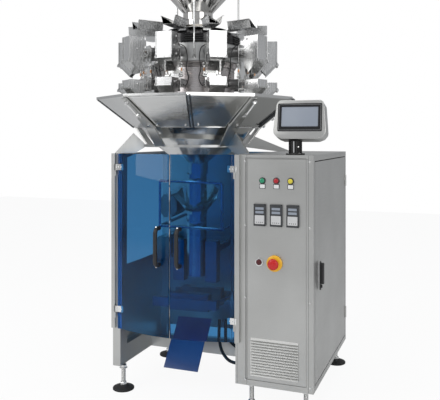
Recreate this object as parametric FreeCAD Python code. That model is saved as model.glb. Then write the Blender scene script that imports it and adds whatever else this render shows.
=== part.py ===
import FreeCAD, Part
import os
from math import atan2, cos, degrees, hypot, pi, radians, sin, tan

# Ten-head combination weigher on its form, fill and seal bagging machine.
# Machine frame while modelling: X to the right, Y to the back, Z up from the floor.
# The finished solids are moved so that the origin is under the middle of the whole machine.

# ---- driving dimensions, millimetres ----
body_width = 1160.0
body_depth = 950.0
body_top = 1350.0
floor_gap = 140.0
sheet = 2.0
seat_gap = 0.3

post_width = 48.0
post_depth = 77.0
post_wall = 3.0
left_frame_length = 680.0
beam_height = 105.0
beam_width = 46.0
cross_beam_y = -90.0

cabinet_left = 161.0
cabinet_wall = 3.0
front_column_left = 56.0
front_column_right = 37.0
panel_recess = 2.0
panel_thickness = 16.0
side_frame = 30.0
door_gap = 5.0
side_door_thickness = 18.0
side_door_hinge_out = 3.0
side_handle_inset = 78.0
side_sheet_top = 700.0

foot_pad_radius = 61.0
foot_pad_height = 25.0
foot_stem_radius = 12.0
foot_nut_radius = 20.0
foot_nut_height = 16.0
foot_inset = 62.0
post_foot_inset = 38.0

barrel_radius = 6.0
barrel_height = 34.0
barrel_room = 1.0
barrel_inset = 60.0

guard_bottom = 360.0
guard_centre = -198.0
guard_half_span = 358.0
guard_bulge = 58.0
guard_sheet = 5.0
guard_seam = 6.0
stile_width = 24.0
stile_depth = 18.0
hinge_strip_width = 22.0
handle_offset = 62.0
handle_height = 224.0
handle_mid = 852.0
handle_bar = 26.0
handle_reach = 55.0
handle_thickness = 14.0

weigher_x = -191.0
weigher_y = -171.0
head_count = 10
hopper_face = 462.0
hopper_depth = 92.0
hopper_width = 80.0
hopper_flange = 7.0
feed_top = 2000.0
feed_gate = 1862.0
weigh_gate = 1716.0
feed_gate_drop = 60.0
gate_overhang = 6.0
gate_swing_room = 6.0
weigh_gate_drop = 60.0
chute_skin = 3.2
gate_gap = 1.0
gate_sheet = 2.0
gate_lip = 12.0
hinge_pin_radius = 3.0
hinge_pin_out = 7.0
hinge_pin_drop = 1.0
pin_play = 0.15
lug_thickness = 3.0

column_radius = 215.0
drum_radius = 240.0
drum_ledge_radius = 262.0
column_bottom = 1655.0
ledge_bottom = 1865.0
ledge_height = 14.0
ring_bottom = 1972.0
ring_top = 2040.0
ring_step = 6.0

rim_radius = 585.0
rim_height = 1655.0
rim_lip = 14.0
chute_bottom_radius = 380.0
chute_bottom = 1498.0
spider_thickness = 14.0
spider_arm = 26.0
cone_top_radius = 250.0
cone_top = 1400.0
cone_bottom_radius = 57.0
cone_bottom = 1189.0
support_ring_radius = 312.0
support_ring_inner = 284.0
support_ring_bottom = 1386.0
support_ring_thickness = 14.0
leg_width = 85.0
leg_thickness = 10.0
leg_overhang = 30.0
leg_top_width = 70.0
leg_top_rise = 66.0
ring_bite = 8.0
leg_inset = 60.0
leg_cabinet_inset = 40.0
arm_thickness = 10.0
arm_foot_width = 76.0
arm_bend_width = 66.0
arm_rim_gap = 10.0
arm_rim_width = 36.0

neck_radius = 80.0
neck_shoulder = 4.0
neck_bottom = 2100.0
neck_top = 2170.0
funnel_rim_radius = 262.0
funnel_height = 195.0
funnel_rim = neck_top + funnel_height
funnel_lip = 16.0
rod_radius = 5.0
rod_angles = (18.0, 126.0, 234.0)

pan_bottom = 2046.0
pan_height = 46.0
pan_inner = 165.0
pan_outer = 408.0
pan_width = 84.0

tube_outer_radius = 60.0
tube_inner_radius = 57.0
tube_bottom = 640.0
collar_low = 975.0
collar_wing = 138.0
rod_frame_width = 394.0
rod_frame_top = 1155.0
rod_frame_bottom = 910.0
rod_frame_rod = 7.0

belt_unit_width = 70.0
belt_unit_top = 830.0
belt_unit_bottom = 610.0
belt_unit_gap = 8.0

jaw_mid = 515.0
jaw_height = 90.0
jaw_depth = 60.0
jaw_width = 250.0
jaw_open = 70.0
guide_radius = 10.0
guide_half_span = 170.0
guide_play = 0.3
collar_skin = 2.5
# rises of the collar's folded edge from its nose round to its crown
collar_rises = (34.0, 62.0, 88.0, 122.0, 170.0)
jaw_meet = 3.0

# x, z, radius, length of the film rollers on the back plate
film_rollers = (
    (-436.0, 982.0, 62.0, 180.0),
    (-485.0, 745.0, 62.0, 150.0),
)

slide_width = 213.0
slide_top_y = -112.0
slide_top = 400.0
slide_foot_y = -330.0
slide_foot = 112.0

hmi_x = 457.0
hmi_y = -395.0
hmi_width = 275.0
hmi_height = 205.0
hmi_depth = 105.0
hmi_bottom = 1425.0
hmi_lean = 10.0
hmi_turn = 4.0
hmi_offset = 28.0
pedestal_radius = 36.0

panel_lamp_z = 1216.0
panel_lamp_x = (301.0, 376.0, 452.0)
lamp_radius = 20.0
controller_x = (288.0, 376.0, 464.0)
controller_z = 1037.0
controller_size = (64.0, 114.0)
reset_x = 284.0
reset_z = 791.0
stop_x = 376.0
stop_z = 789.0
stop_base_radius = 39.0
stop_head_radius = 30.0
stop_travel = 6.0
stop_stem_radius = 9.0
vent_x = (246.0, 501.0)
vent_z = (194.0, 394.0)
vent_count = 14

conduit_radius = 9.0

# hand-chosen route points of the two conduits, from the back plate's foot to the cabinet wall
conduit_routes = {
    "front_conduit": (
        (-92.0, -70.0, 392.0), (-90.0, -84.0, 318.0), (-78.0, -118.0, 246.0), (-48.0, -160.0, 190.0),
        (4.0, -200.0, 156.0), (60.0, -229.0, 152.0), (112.0, -240.0, 166.0), (160.7, -240.0, 166.0),
    ),
    "rear_conduit": (
        (-56.0, -60.0, 392.0), (-55.0, -68.0, 330.0), (-46.0, -86.0, 276.0), (-16.0, -108.0, 236.0),
        (32.0, -128.0, 210.0), (92.0, -140.0, 200.0), (160.7, -140.0, 200.0),
    ),
}
turned_sides = 40
small_sides = 16
round_sides = 8
conduit_sides = 6

vec = FreeCAD.Vector
up = vec(0, 0, 1)
nodes = {}


def box(x0, x1, y0, y1, z0, z1):
    return Part.makeBox(x1 - x0, y1 - y0, z1 - z0, vec(x0, y0, z0))


def closed_solid(faces):
    shell = Part.makeShell(faces)
    shell.sewShape()
    solid = Part.makeSolid(shell)
    if solid.Volume < 0:
        solid.reverse()
    return solid


def bar(start, end, radius, sides=round_sides):
    """Round bar with flats; the flats lie on the radius, so a bar in a hole keeps its play."""
    along = end - start
    side = vec(1, 0, 0) if abs(along.x) < abs(along.z) + abs(along.y) else vec(0, 0, 1)
    first = along.cross(side).normalize()
    second = along.cross(first).normalize()
    corner = radius / cos(pi / sides)
    points = []
    for k in range(sides):
        turn = 2 * pi * (k + 0.5) / sides
        points.append(start + first * (corner * cos(turn)) + second * (corner * sin(turn)))
    face = Part.Face(Part.makePolygon(points + points[:1]))
    return face.extrude(along)


def lathe(profile, sides, centre):
    """Many-sided turning of an (r, z) outline about an upright line through the centre."""
    rings = []
    for r, z in profile:
        ring = []
        for k in range(sides):
            turn = 2 * pi * k / sides
            ring.append(centre + vec(r * cos(turn), r * sin(turn), z))
        rings.append(ring)
    faces = []
    for j, (r, z) in enumerate(profile):
        n = (j + 1) % len(profile)
        next_r = profile[n][0]
        if r == 0 and next_r == 0:
            continue
        for k in range(sides):
            m = (k + 1) % sides
            loop = [rings[j][k]]
            if r > 0:
                loop.append(rings[j][m])
            loop.append(rings[n][m])
            if next_r > 0:
                loop.append(rings[n][k])
            faces.append(Part.Face(Part.makePolygon(loop + loop[:1])))
    return closed_solid(faces)


def knob(profile, sides, x, y, z):
    """Turned piece that stands out of the front panel; the outline is (radius, reach)."""
    solid = lathe(profile, sides, vec(0, 0, 0))
    solid.rotate(vec(0, 0, 0), vec(1, 0, 0), 90)
    solid.translate(vec(x, y, z))
    return solid


def prism(points, push):
    face = Part.Face(Part.makePolygon([vec(*p) for p in points] + [vec(*points[0])]))
    return face.extrude(vec(*push))


def fuse(pieces):
    whole = pieces[0].fuse(pieces[1:]) if len(pieces) > 1 else pieces[0]
    return whole.removeSplitter()


def turned(profile):
    """Full turn of an (r, z) outline about the weigher's own axis."""
    return lathe(profile, turned_sides, vec(weigher_x, weigher_y, 0))


def at_angle(shape, angle):
    """Places a head, modelled looking to the front about the origin, on the weigher's circle."""
    copy = shape.copy()
    copy.rotate(vec(0, 0, 0), up, angle)
    copy.translate(vec(weigher_x, weigher_y, 0))
    return copy


def side_profile(outline, width, middle=0.0):
    """Extrudes an (r, z) outline of the front head across its width."""
    points = [(middle - width / 2, -r, z) for r, z in outline]
    return prism(points, (width, 0, 0))


def keep(name, *pieces):
    nodes[name] = list(pieces)


half_width = body_width / 2
half_depth = body_depth / 2
head_step = 360.0 / head_count


# ---- machine body ----
def levelling_feet():
    places = [
        (-half_width + post_foot_inset, -half_depth + post_foot_inset),
        (-half_width + post_foot_inset, -half_depth + left_frame_length - post_foot_inset),
        (cabinet_left + foot_inset, -half_depth + foot_inset),
        (half_width - foot_inset, -half_depth + foot_inset),
        (cabinet_left + foot_inset, half_depth - foot_inset),
        (half_width - foot_inset, half_depth - foot_inset),
    ]
    feet = []
    for x, y in places:
        spot = vec(x, y, 0)
        pad = lathe([(0, 0), (foot_pad_radius, 0), (foot_pad_radius, foot_pad_height * 0.4),
                     (foot_pad_radius * 0.45, foot_pad_height), (0, foot_pad_height)], small_sides, spot)
        stem = bar(spot + up * (foot_pad_height - 2), spot + up * floor_gap, foot_stem_radius)
        top_nut = bar(spot + up * (floor_gap - foot_nut_height), spot + up * floor_gap, foot_nut_radius, 6)
        low_nut = bar(spot + up * (foot_pad_height - 1), spot + up * (foot_pad_height + foot_nut_height),
                      foot_nut_radius, 6)
        feet.append(fuse([pad, stem, top_nut, low_nut]))
    keep("levelling_feet", *feet)


def left_side():
    front = box(-half_width, -half_width + post_width, -half_depth, -half_depth + post_depth,
                floor_gap, body_top)
    strip = box(-half_width, -half_width + hinge_strip_width, -half_depth - stile_depth, -half_depth,
                guard_bottom, body_top)
    rear_y = -half_depth + left_frame_length - post_width
    rear = box(-half_width, -half_width + post_width, rear_y, rear_y + post_width, floor_gap, body_top)
    keep("frame_posts", with_barrels(fuse([front, strip]), *guard_barrels(-1), False), rear)
    side_x = -half_width + beam_width
    lower = box(-half_width, side_x, -half_depth + post_depth, rear_y, floor_gap, floor_gap + beam_height)
    cross = box(side_x, cabinet_left, cross_beam_y, cross_beam_y + beam_width, floor_gap, floor_gap + beam_height)
    rear_cross = box(-half_width + post_width, cabinet_left, rear_y, rear_y + post_width,
                     floor_gap, floor_gap + beam_height)
    side_sheet = box(-half_width + sheet, -half_width + 2 * sheet, -half_depth + post_depth + seat_gap,
                     rear_y - seat_gap, floor_gap + beam_height + seat_gap, side_sheet_top)
    keep("lower_beams", fuse([lower, cross]), rear_cross, side_sheet)
    upper = box(-half_width, side_x, -half_depth + post_depth, rear_y, body_top - beam_width, body_top)
    upper_rear = box(-half_width + post_width, cabinet_left, rear_y, rear_y + post_width,
                     body_top - beam_width, body_top)
    keep("upper_beams", upper, upper_rear)


def cabinet():
    wall = cabinet_wall
    low = floor_gap
    high = body_top
    left = cabinet_left
    right = half_width
    front = -half_depth
    back = half_depth
    shell = box(left, right, front, back, low, high)
    hollow = box(left + wall, right - wall, front + post_depth * 0.5, back - wall, low + wall, high - wall)
    doorway = box(right - side_door_thickness - wall, right + 1, front + side_frame, back - side_frame,
                  low + side_frame, high - side_frame)
    ledge = box(left + front_column_left + 12, right - front_column_right - 12, front - 1,
                front + post_depth * 0.5 + 1, low + side_frame + 12, high - side_frame * 0.5 - 12)
    step = box(left + front_column_left, right - front_column_right, front - 1,
               front + panel_recess + panel_thickness + seat_gap,
               low + side_frame, high - side_frame * 0.5)
    strip = box(left + door_gap * 0.2, left + door_gap * 0.2 + hinge_strip_width + 4, front - stile_depth, front,
                guard_bottom, high)
    body = shell.cut(hollow).cut(doorway).cut(step).cut(ledge)
    body = with_barrels(fuse([body, strip]), *guard_barrels(1), False)
    keep("cabinet_shell", with_barrels(body, *side_barrels(), False))

    x0 = left + front_column_left + 1.5
    x1 = right - front_column_right - 1.5
    z0 = low + side_frame + 1.5
    z1 = high - side_frame * 0.5 - 1.5
    panel = box(x0, x1, front + panel_recess, front + panel_recess + panel_thickness, z0, z1)
    pitch = (vent_z[1] - vent_z[0]) / vent_count
    slat_out = 9.0
    slats = []
    for row in range(vent_count):
        base = vent_z[0] + row * pitch
        outline = [
            (vent_x[0], front + panel_recess, base),
            (vent_x[0], front + panel_recess - slat_out, base + 1),
            (vent_x[0], front + panel_recess, base + pitch * 0.8),
        ]
        slats.append(prism(outline, (vent_x[1] - vent_x[0], 0, 0)))
    keep("cabinet_front_panel", fuse([panel] + slats))


def panel_face():
    return -half_depth + panel_recess


def panel_controls():
    face = panel_face()
    controls = []
    for x in panel_lamp_x:
        controls.append(knob([(0, 0), (lamp_radius, 0), (lamp_radius, 6), (lamp_radius * 0.8, 6),
                              (lamp_radius * 0.8, 13), (lamp_radius * 0.5, 16), (0, 16)],
                             small_sides, x, face, panel_lamp_z))
    units = []
    for x in controller_x:
        w, h = controller_size
        bezel = box(x - w / 2, x + w / 2, face - 12, face, controller_z - h / 2, controller_z + h / 2)
        window = box(x - w / 2 + 5, x + w / 2 - 5, face - 13, face - 10,
                     controller_z + 2, controller_z + h / 2 - 6)
        units.append(bezel.cut(window))
    keep("temperature_controllers", *units)
    flush = knob([(0, 0), (22, 0), (22, 8), (15, 8), (15, 14), (0, 14)], small_sides, reset_x, face, reset_z)
    well = stop_stem_radius + seat_gap
    base = knob([(0, 0), (stop_base_radius, 0), (stop_base_radius, 9), (stop_base_radius - 6, 14),
                 (well, 14), (well, 4), (0, 4)], small_sides, stop_x, face, stop_z)
    keep("lamps_and_buttons", *controls, flush, base)
    stem = 4 + stop_travel + 0.5
    skirt = 14 + stop_travel + 2
    edge = stop_head_radius
    keep("stop_mushroom", knob([
        (0, stem), (stop_stem_radius, stem), (stop_stem_radius, skirt), (edge * 0.85, skirt), (edge, skirt + 8),
        (edge * 0.92, skirt + 16), (edge * 0.6, skirt + 22), (0, skirt + 24),
    ], small_sides, stop_x, face, stop_z))


def operator_panel():
    rise = hmi_bottom - body_top - seat_gap
    keep("hmi_pedestal", lathe([
        (0, 0), (pedestal_radius + 14, 0), (pedestal_radius + 14, 6), (pedestal_radius, 8),
        (pedestal_radius, rise), (0, rise),
    ], small_sides, vec(hmi_x, hmi_y, body_top)))
    half = hmi_width / 2
    cut_top = 22.0
    cut_low = 42.0
    front = -hmi_depth / 2
    outline = [
        (-half + cut_low, 0, 0), (half - cut_low, 0, 0), (half, 0, cut_low * 0.75),
        (half - 12, 0, hmi_height - cut_top), (half - 12 - cut_top, 0, hmi_height),
        (-half + 12 + cut_top, 0, hmi_height), (-half + 12, 0, hmi_height - cut_top), (-half, 0, cut_low * 0.75),
    ]
    block = prism([(x, front, z) for x, y, z in outline], (0, hmi_depth, 0))
    screen_w = hmi_width * 0.84
    screen_h = hmi_height * 0.72
    base_z = hmi_height * 0.19
    pocket = box(-screen_w / 2, screen_w / 2, front - 1, front + 8, base_z, base_z + screen_h)
    bezel = box(-screen_w / 2 + 0.5, screen_w / 2 - 0.5, front - 1.5, front + 8, base_z + 0.5, base_z + screen_h - 0.5)
    glass = box(-screen_w / 2 + 18, screen_w / 2 - 18, front - 2.5, front + 1, base_z + 28, base_z + screen_h - 20)
    block = block.cut(pocket)
    bezel = bezel.cut(glass)
    placed = []
    for shape in (block, bezel):
        shape.translate(vec(hmi_offset, 0, 0))
        shape.rotate(vec(0, 0, 0), vec(1, 0, 0), -hmi_lean)
        shape.rotate(vec(0, 0, 0), up, hmi_turn)
        shape.translate(vec(hmi_x, hmi_y, hmi_bottom))
        placed.append(shape)
    under = box(hmi_x - hmi_width, hmi_x + hmi_width, hmi_y - hmi_depth, hmi_y + hmi_depth, hmi_bottom - 40, hmi_bottom)
    keep("hmi_housing", placed[0].cut(under))
    keep("hmi_bezel", placed[1])


# ---- hinge barrels and guard doors ----
def with_barrels(body, x, y, lows, moving):
    """Adds a door's hinge barrels to the frame or the leaf; the frame's stand under the leaf's."""
    for low in lows:
        middle = low + barrel_height
        if moving:
            own = middle + seat_gap
            room = low - seat_gap
        else:
            own = low
            room = middle
        body = body.cut(Part.makeCylinder(barrel_radius + barrel_room, barrel_height + 2 * seat_gap, vec(x, y, room)))
        body = body.fuse(Part.makeCylinder(barrel_radius, barrel_height, vec(x, y, own)))
    return body.removeSplitter()


def guard_barrels(side):
    """Axis and heights of a guard door's hinges."""
    lows = (guard_bottom + barrel_inset, body_top - barrel_inset - 2 * barrel_height)
    return guard_centre + side * guard_half_span, -half_depth - stile_depth, lows


def side_barrels():
    lows = (floor_gap + side_frame + 2 * barrel_inset, body_top - side_frame - 2 * barrel_inset - 2 * barrel_height)
    edge = half_depth - side_frame - door_gap
    return half_width + side_door_hinge_out, edge + side_door_hinge_out, lows


def guard_leaf(side):
    """side is -1 for the left leaf, +1 for the right one."""
    chord = guard_half_span - stile_width - 1
    radius = (chord ** 2 + guard_bulge ** 2) / (2 * guard_bulge)
    face_y = -half_depth - stile_depth
    centre = vec(guard_centre, face_y + radius - guard_bulge, 0)
    outer = Part.makeCylinder(radius, body_top - guard_bottom, centre + vec(0, 0, guard_bottom))
    inner = Part.makeCylinder(radius - guard_sheet, body_top - guard_bottom + 2,
                              centre + vec(0, 0, guard_bottom - 1))
    shell = outer.cut(inner)
    edge = guard_centre + side * (guard_seam / 2)
    outer_edge = guard_centre + side * (chord + 1)
    x0, x1 = sorted((edge, outer_edge))
    window = box(x0, x1, face_y - guard_bulge - 1, face_y + guard_sheet + 3, guard_bottom, body_top)
    leaf = shell.common(window)
    stile_inner = guard_centre + side * chord
    stile_outer = guard_centre + side * (chord + stile_width)
    s0, s1 = sorted((stile_inner, stile_outer))
    stile = box(s0, s1, face_y, -half_depth - 1, guard_bottom, body_top)
    return with_barrels(fuse([leaf, stile]), *guard_barrels(side), True)


def guard_face_y(x):
    chord = guard_half_span - stile_width - 1
    radius = (chord ** 2 + guard_bulge ** 2) / (2 * guard_bulge)
    centre_y = -half_depth - stile_depth + radius - guard_bulge
    return centre_y - (radius ** 2 - (x - guard_centre) ** 2) ** 0.5


def pull_handle(x, face, reach, height, middle, bar, thick):
    low = middle - height / 2
    high = middle + height / 2
    outer = [
        (face - seat_gap, low), (face - seat_gap, low + bar), (face - reach + thick, low + bar + 8),
        (face - reach + thick, high - bar - 8), (face - seat_gap, high - bar), (face - seat_gap, high),
        (face - reach + 6, high), (face - reach, high - 12), (face - reach, low + 12), (face - reach + 6, low),
    ]
    return prism([(x - bar / 2, y, z) for y, z in outer], (bar, 0, 0))


def guard_doors():
    for side, name in ((-1, "left"), (1, "right")):
        keep(name + "_guard_door", guard_leaf(side))
        x = guard_centre + side * handle_offset
        face = guard_face_y(x - side * handle_bar / 2)
        keep(name + "_door_handle",
             pull_handle(x, face, handle_reach, handle_height, handle_mid, handle_bar, handle_thickness))


def side_door():
    low = floor_gap + side_frame + door_gap
    high = body_top - side_frame - door_gap
    front = -half_depth + side_frame + door_gap
    back = half_depth - side_frame - door_gap
    door = box(half_width - side_door_thickness, half_width, front, back, low, high)
    keep("cabinet_side_door", with_barrels(door, *side_barrels(), True))
    y = front + side_handle_inset
    z0 = 645.0
    z1 = 796.0
    plate = box(half_width + seat_gap, half_width + 6, y - 16, y + 16, z0, z1)
    lever = box(half_width + 6, half_width + 22, y - 11, y + 11, z0 + 10, z1 - 10)
    keep("side_door_handle", fuse([plate, lever]))


# ---- weigher ----
def drum():
    body = [
        (0, column_bottom), (column_radius, column_bottom), (column_radius, ledge_bottom - 25),
        (drum_ledge_radius - 30, ledge_bottom), (drum_ledge_radius, ledge_bottom),
        (drum_ledge_radius, ledge_bottom + ledge_height), (drum_radius, ledge_bottom + ledge_height),
        (drum_radius, ring_bottom), (0, ring_bottom),
    ]
    keep("drum_body", turned(body))
    ring = [
        (0, ring_bottom), (drum_radius + ring_step, ring_bottom), (drum_radius + ring_step, ring_top - 12),
        (drum_radius - 8, ring_top), (0, ring_top),
    ]
    keep("drum_top_ring", turned(ring))
    cone = [(0, ring_top + 6), (60, ring_top + 6), (pan_inner + 12, ring_top + 26), (pan_inner + 12, ring_top + 29),
            (30, neck_bottom - 16), (0, neck_bottom - 12)]
    hub = Part.makeCylinder(60, 6, vec(weigher_x, weigher_y, ring_top))
    keep("top_cone", fuse([turned(cone), hub]))


def feeder_pans():
    pans = []
    for k in range(head_count):
        half = pan_width / 2
        outer = [(-half, pan_bottom + pan_height), (-half + 12, pan_bottom), (half - 12, pan_bottom),
                 (half, pan_bottom + pan_height)]
        inner = [(-half + sheet, pan_bottom + pan_height + 1), (-half + 12 + sheet, pan_bottom + sheet),
                 (half - 12 - sheet, pan_bottom + sheet), (half - sheet, pan_bottom + pan_height + 1)]
        length = pan_outer - drum_radius - 10
        start = drum_radius + 10
        solid = prism([(x, -start, z) for x, z in outer], (0, -length, 0))
        hollow = prism([(x, -start + 1, z) for x, z in inner], (0, -length - 2, 0))
        trough = solid.cut(hollow)
        plate = prism([(-30, -pan_inner - 14, pan_bottom), (30, -pan_inner - 14, pan_bottom),
                       (half - 12, -start, pan_bottom), (-half + 12, -start, pan_bottom)], (0, 0, sheet))
        foot = box(-22, 22, -drum_radius + 16, -drum_radius + 56, ring_top, pan_bottom)
        pans.append(at_angle(fuse([trough, plate, foot]), k * head_step))
    keep("feeder_pans", *pans)


def hopper(top, gate, drop):
    ro = hopper_face
    ri = hopper_face - hopper_depth
    bottom_r = ro - drop
    bottom = gate - drop
    bend = bottom + (bottom_r - ri)
    outline = [(ro, top), (ro, gate), (bottom_r, bottom), (ri, bend), (ri, top)]
    body = side_profile(outline, hopper_width)
    t = sheet
    inner = [(ro - t, top + 1), (ro - t, gate - drop / 3), (bottom_r + t, bottom - drop / 3),
             (bottom_r + t * 0.4, bottom + t), (ri + t, bend + t), (ri + t, top + 1)]
    body = body.cut(side_profile(inner, hopper_width - 2 * t))
    half = hopper_width / 2 + hopper_flange
    front = box(-half, half, -ro, -ro + t, gate - t * 0.5, top)
    pieces = [body, front]
    pin_r = ro + hinge_pin_out
    pin_z = gate - hinge_pin_drop
    for s in (-1, 1):
        x0, x1 = sorted((s * half, s * (half - lug_thickness)))
        lug = box(x0, x1, -pin_r - 6, -ro, pin_z - 7, pin_z + 14)
        pieces.append(lug.cut(bar(vec(x0 - 1, -pin_r, pin_z), vec(x1 + 1, -pin_r, pin_z),
                                  hinge_pin_radius / cos(pi / round_sides) + pin_play)))
    return fuse(pieces)


def gate_length(drop):
    return hypot(drop, drop) + gate_overhang


def weigh_top():
    """The weigh hopper's mouth lies below everything that the feed gate sweeps."""
    side = 1 / 2 ** 0.5
    along = gate_length(feed_gate_drop) * side
    off = (gate_gap + gate_sheet) * side
    reach = hypot(along + off - hinge_pin_drop, along - off + hinge_pin_out)
    return feed_gate - hinge_pin_drop - reach - gate_swing_room


def gate_flap(gate, drop):
    """The flap that closes the slanted mouth, hung on a pin across the front."""
    half = hopper_width / 2 + hopper_flange - lug_thickness - 1
    length = gate_length(drop)
    start = -5.0
    side = 1 / 2 ** 0.5
    def place(along, off):
        return (hopper_face - along * side + off * side, gate - along * side - off * side)
    plate = side_profile([place(start, gate_gap), place(length, gate_gap),
                          place(length, gate_gap + gate_sheet), place(start, gate_gap + gate_sheet)], 2 * half)
    pieces = [plate]
    lip_start = 12.0
    for s in (-1, 1):
        lip = [place(lip_start, gate_gap), place(lip_start + 6, gate_gap - gate_lip),
               place(length - 8, gate_gap - gate_lip * 0.6), place(length, gate_gap)]
        pieces.append(side_profile(lip, gate_sheet, s * (half - gate_sheet / 2)))
    pin_r = hopper_face + hinge_pin_out
    reach = hopper_width / 2 + hopper_flange
    pin_z = gate - hinge_pin_drop
    pieces.append(bar(vec(-reach, -pin_r, pin_z), vec(reach, -pin_r, pin_z), hinge_pin_radius))
    return fuse(pieces)


def heads():
    feed = hopper(feed_top, feed_gate, feed_gate_drop)
    weigh = hopper(weigh_top(), weigh_gate, weigh_gate_drop)
    feed_flap = gate_flap(feed_gate, feed_gate_drop)
    weigh_flap = gate_flap(weigh_gate, weigh_gate_drop)
    keep("feed_hoppers", *[at_angle(feed, k * head_step) for k in range(head_count)])
    keep("weigh_hoppers", *[at_angle(weigh, k * head_step) for k in range(head_count)])
    for k in range(head_count):
        keep("feed_gate_%02d" % (k + 1), at_angle(feed_flap, k * head_step))
        keep("weigh_gate_%02d" % (k + 1), at_angle(weigh_flap, k * head_step))


def hopper_drives():
    """Hanger plate with hook arms, motor noses and push rods, one for each head."""
    hopper_back = hopper_face - hopper_depth
    plate_r = hopper_back - 40
    half = hopper_width / 2 - 4
    low = weigh_gate - 30
    high = feed_top - 40
    plate = box(-half, half, -plate_r, -plate_r + 4, low, high)
    pieces = [plate]
    noses = ((feed_gate + 60, 28, drum_radius), (weigh_gate + 30, 24, column_radius))
    for z, radius, seat in noses:
        pieces.append(bar(vec(0, -plate_r, z), vec(0, -seat * cos(pi / turned_sides) - 1, z), radius))
    for s in (-1, 1):
        x0, x1 = sorted((s * half, s * (half - 5)))
        for z in (high - 70, low + 20):
            pieces.append(box(x0, x1, -hopper_back + seat_gap, -plate_r, z, z + 46))
        link_y = -plate_r - 5
        link_x = s * (half + 9)
        link_low = weigh_gate + 60
        link_high = feed_gate - 22
        for z in (link_low, link_high):
            pieces.append(bar(vec(s * (half - 7), link_y, z), vec(s * (half + 15), link_y, z), 9, 6))
        pieces.append(bar(vec(link_x, link_y, link_low), vec(link_x, link_y, link_high), 4, 4))
    unit = fuse(pieces)
    keep("hopper_drives", *[at_angle(unit, k * head_step) for k in range(head_count)])


def decagon(radius, z):
    turn = radians(head_step)
    start = turn / 2
    return [vec(weigher_x + radius * sin(start + k * turn), weigher_y - radius * cos(start + k * turn), z)
            for k in range(head_count)]


def decagon_shell(rings):
    """Flat-sided closed ring; the (radius, z) outline is walked once round the wall's section."""
    corners = [decagon(radius, z) for radius, z in rings]
    faces = []
    for level, nxt in zip(corners, corners[1:] + corners[:1]):
        for k in range(head_count):
            n = (k + 1) % head_count
            faces.append(Part.Face(Part.makePolygon([level[k], level[n], nxt[n], nxt[k], level[k]])))
    return closed_solid(faces)


def chute():
    skin = chute_skin
    keep("discharge_chute", decagon_shell([
        (chute_bottom_radius, chute_bottom), (rim_radius, rim_height), (rim_radius, rim_height + rim_lip),
        (rim_radius - skin, rim_height + rim_lip), (rim_radius - skin, rim_height + 1),
        (chute_bottom_radius - skin, chute_bottom + 1),
    ]))
    t = sheet
    flat = chute_bottom_radius * cos(pi / head_count)
    keep("collecting_cone", turned([
        (cone_bottom_radius, cone_bottom), (cone_bottom_radius + t, cone_bottom),
        (cone_bottom_radius + t, cone_bottom + 60), (cone_top_radius, cone_top - t),
        (flat - 29, chute_bottom - seat_gap - 3), (flat - 0.5, chute_bottom - seat_gap - 3),
        (flat - 0.5, chute_bottom - seat_gap), (flat - 31, chute_bottom - seat_gap),
        (cone_top_radius - t, cone_top), (cone_bottom_radius, cone_bottom + 61),
    ]))


def weigher_frame():
    ring_out = support_ring_radius
    ring_in = support_ring_inner
    top = support_ring_bottom + support_ring_thickness
    ring = turned([(ring_in, support_ring_bottom), (ring_out, support_ring_bottom), (ring_out, top), (ring_in, top)])
    pieces = [ring]
    arm_rooms = []
    for k in range(head_count // 2):
        angle = -head_step / 2 + 2 * k * head_step
        pieces.append(at_angle(chute_arm(), angle))
        arm_rooms.append(at_angle(chute_arm(seat_gap), angle))
    keep("weigher_frame", fuse(pieces), column_spider())
    corners = [
        (-half_width + post_width / 2, -half_depth + post_depth / 2),
        (cabinet_left + leg_cabinet_inset, -half_depth + leg_inset),
        (cabinet_left + leg_cabinet_inset, half_depth - leg_inset),
        (-half_width + post_width / 2, -half_depth + left_frame_length - post_width / 2),
    ]
    grown = support_ring_radius + seat_gap
    room = turned([(0, body_top), (grown, body_top), (grown, top + 2 * leg_top_rise), (0, top + 2 * leg_top_rise)])
    legs = []
    for cx, cy in corners:
        dx = cx - weigher_x
        dy = cy - weigher_y
        run = hypot(dx, dy)
        inner = support_ring_radius - ring_bite
        outline = [
            (run + leg_overhang, body_top + seat_gap), (run - leg_width, body_top + seat_gap),
            (inner, support_ring_bottom), (inner, top), (inner + leg_top_width, top + leg_top_rise),
        ]
        leg = at_angle(side_profile(outline, leg_thickness), degrees(atan2(dx, -dy)))
        legs.append(leg.cut(fuse([room] + arm_rooms)))
    keep("weigher_legs", *legs)


def chute_arm(extra=0.0):
    """Bent tapered strip that runs under a chute corner, from the rim down to the ring."""
    wide = rim_radius - chute_bottom_radius
    high = rim_height - chute_bottom
    slant = hypot(wide, high)
    out = vec(0, -high / slant, -wide / slant)
    rim = vec(0, -rim_radius + arm_rim_gap * wide / slant, rim_height - arm_rim_gap * high / slant)
    bend = vec(0, -chute_bottom_radius, chute_bottom)
    inside = (support_ring_radius ** 2 - (arm_foot_width / 2) ** 2) ** 0.5 - 2
    foot = vec(0, -inside + arm_thickness, support_ring_bottom + 2)
    front = vec(0, -1, 0)
    near = seat_gap - extra
    far = seat_gap + arm_thickness + extra
    stations = (
        (rim + out * near, rim + out * far, arm_rim_width / 2 + extra),
        (bend + out * near, bend + out * far, arm_bend_width / 2 + extra),
        (foot - front * extra, foot + front * (arm_thickness + extra), arm_foot_width / 2 + extra),
    )
    loops = []
    for inner, outer, half in stations:
        side = vec(half, 0, 0)
        loops.append([inner - side, inner + side, outer + side, outer - side])
    faces = [Part.Face(Part.makePolygon(loop + loop[:1])) for loop in (loops[0], loops[-1])]
    for here, there in zip(loops, loops[1:]):
        for k in range(4):
            n = (k + 1) % 4
            faces.append(Part.Face(Part.makePolygon([here[k], here[n], there[n], here[k]])))
            faces.append(Part.Face(Part.makePolygon([here[k], there[n], there[k], here[k]])))
    return closed_solid(faces)


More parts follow.
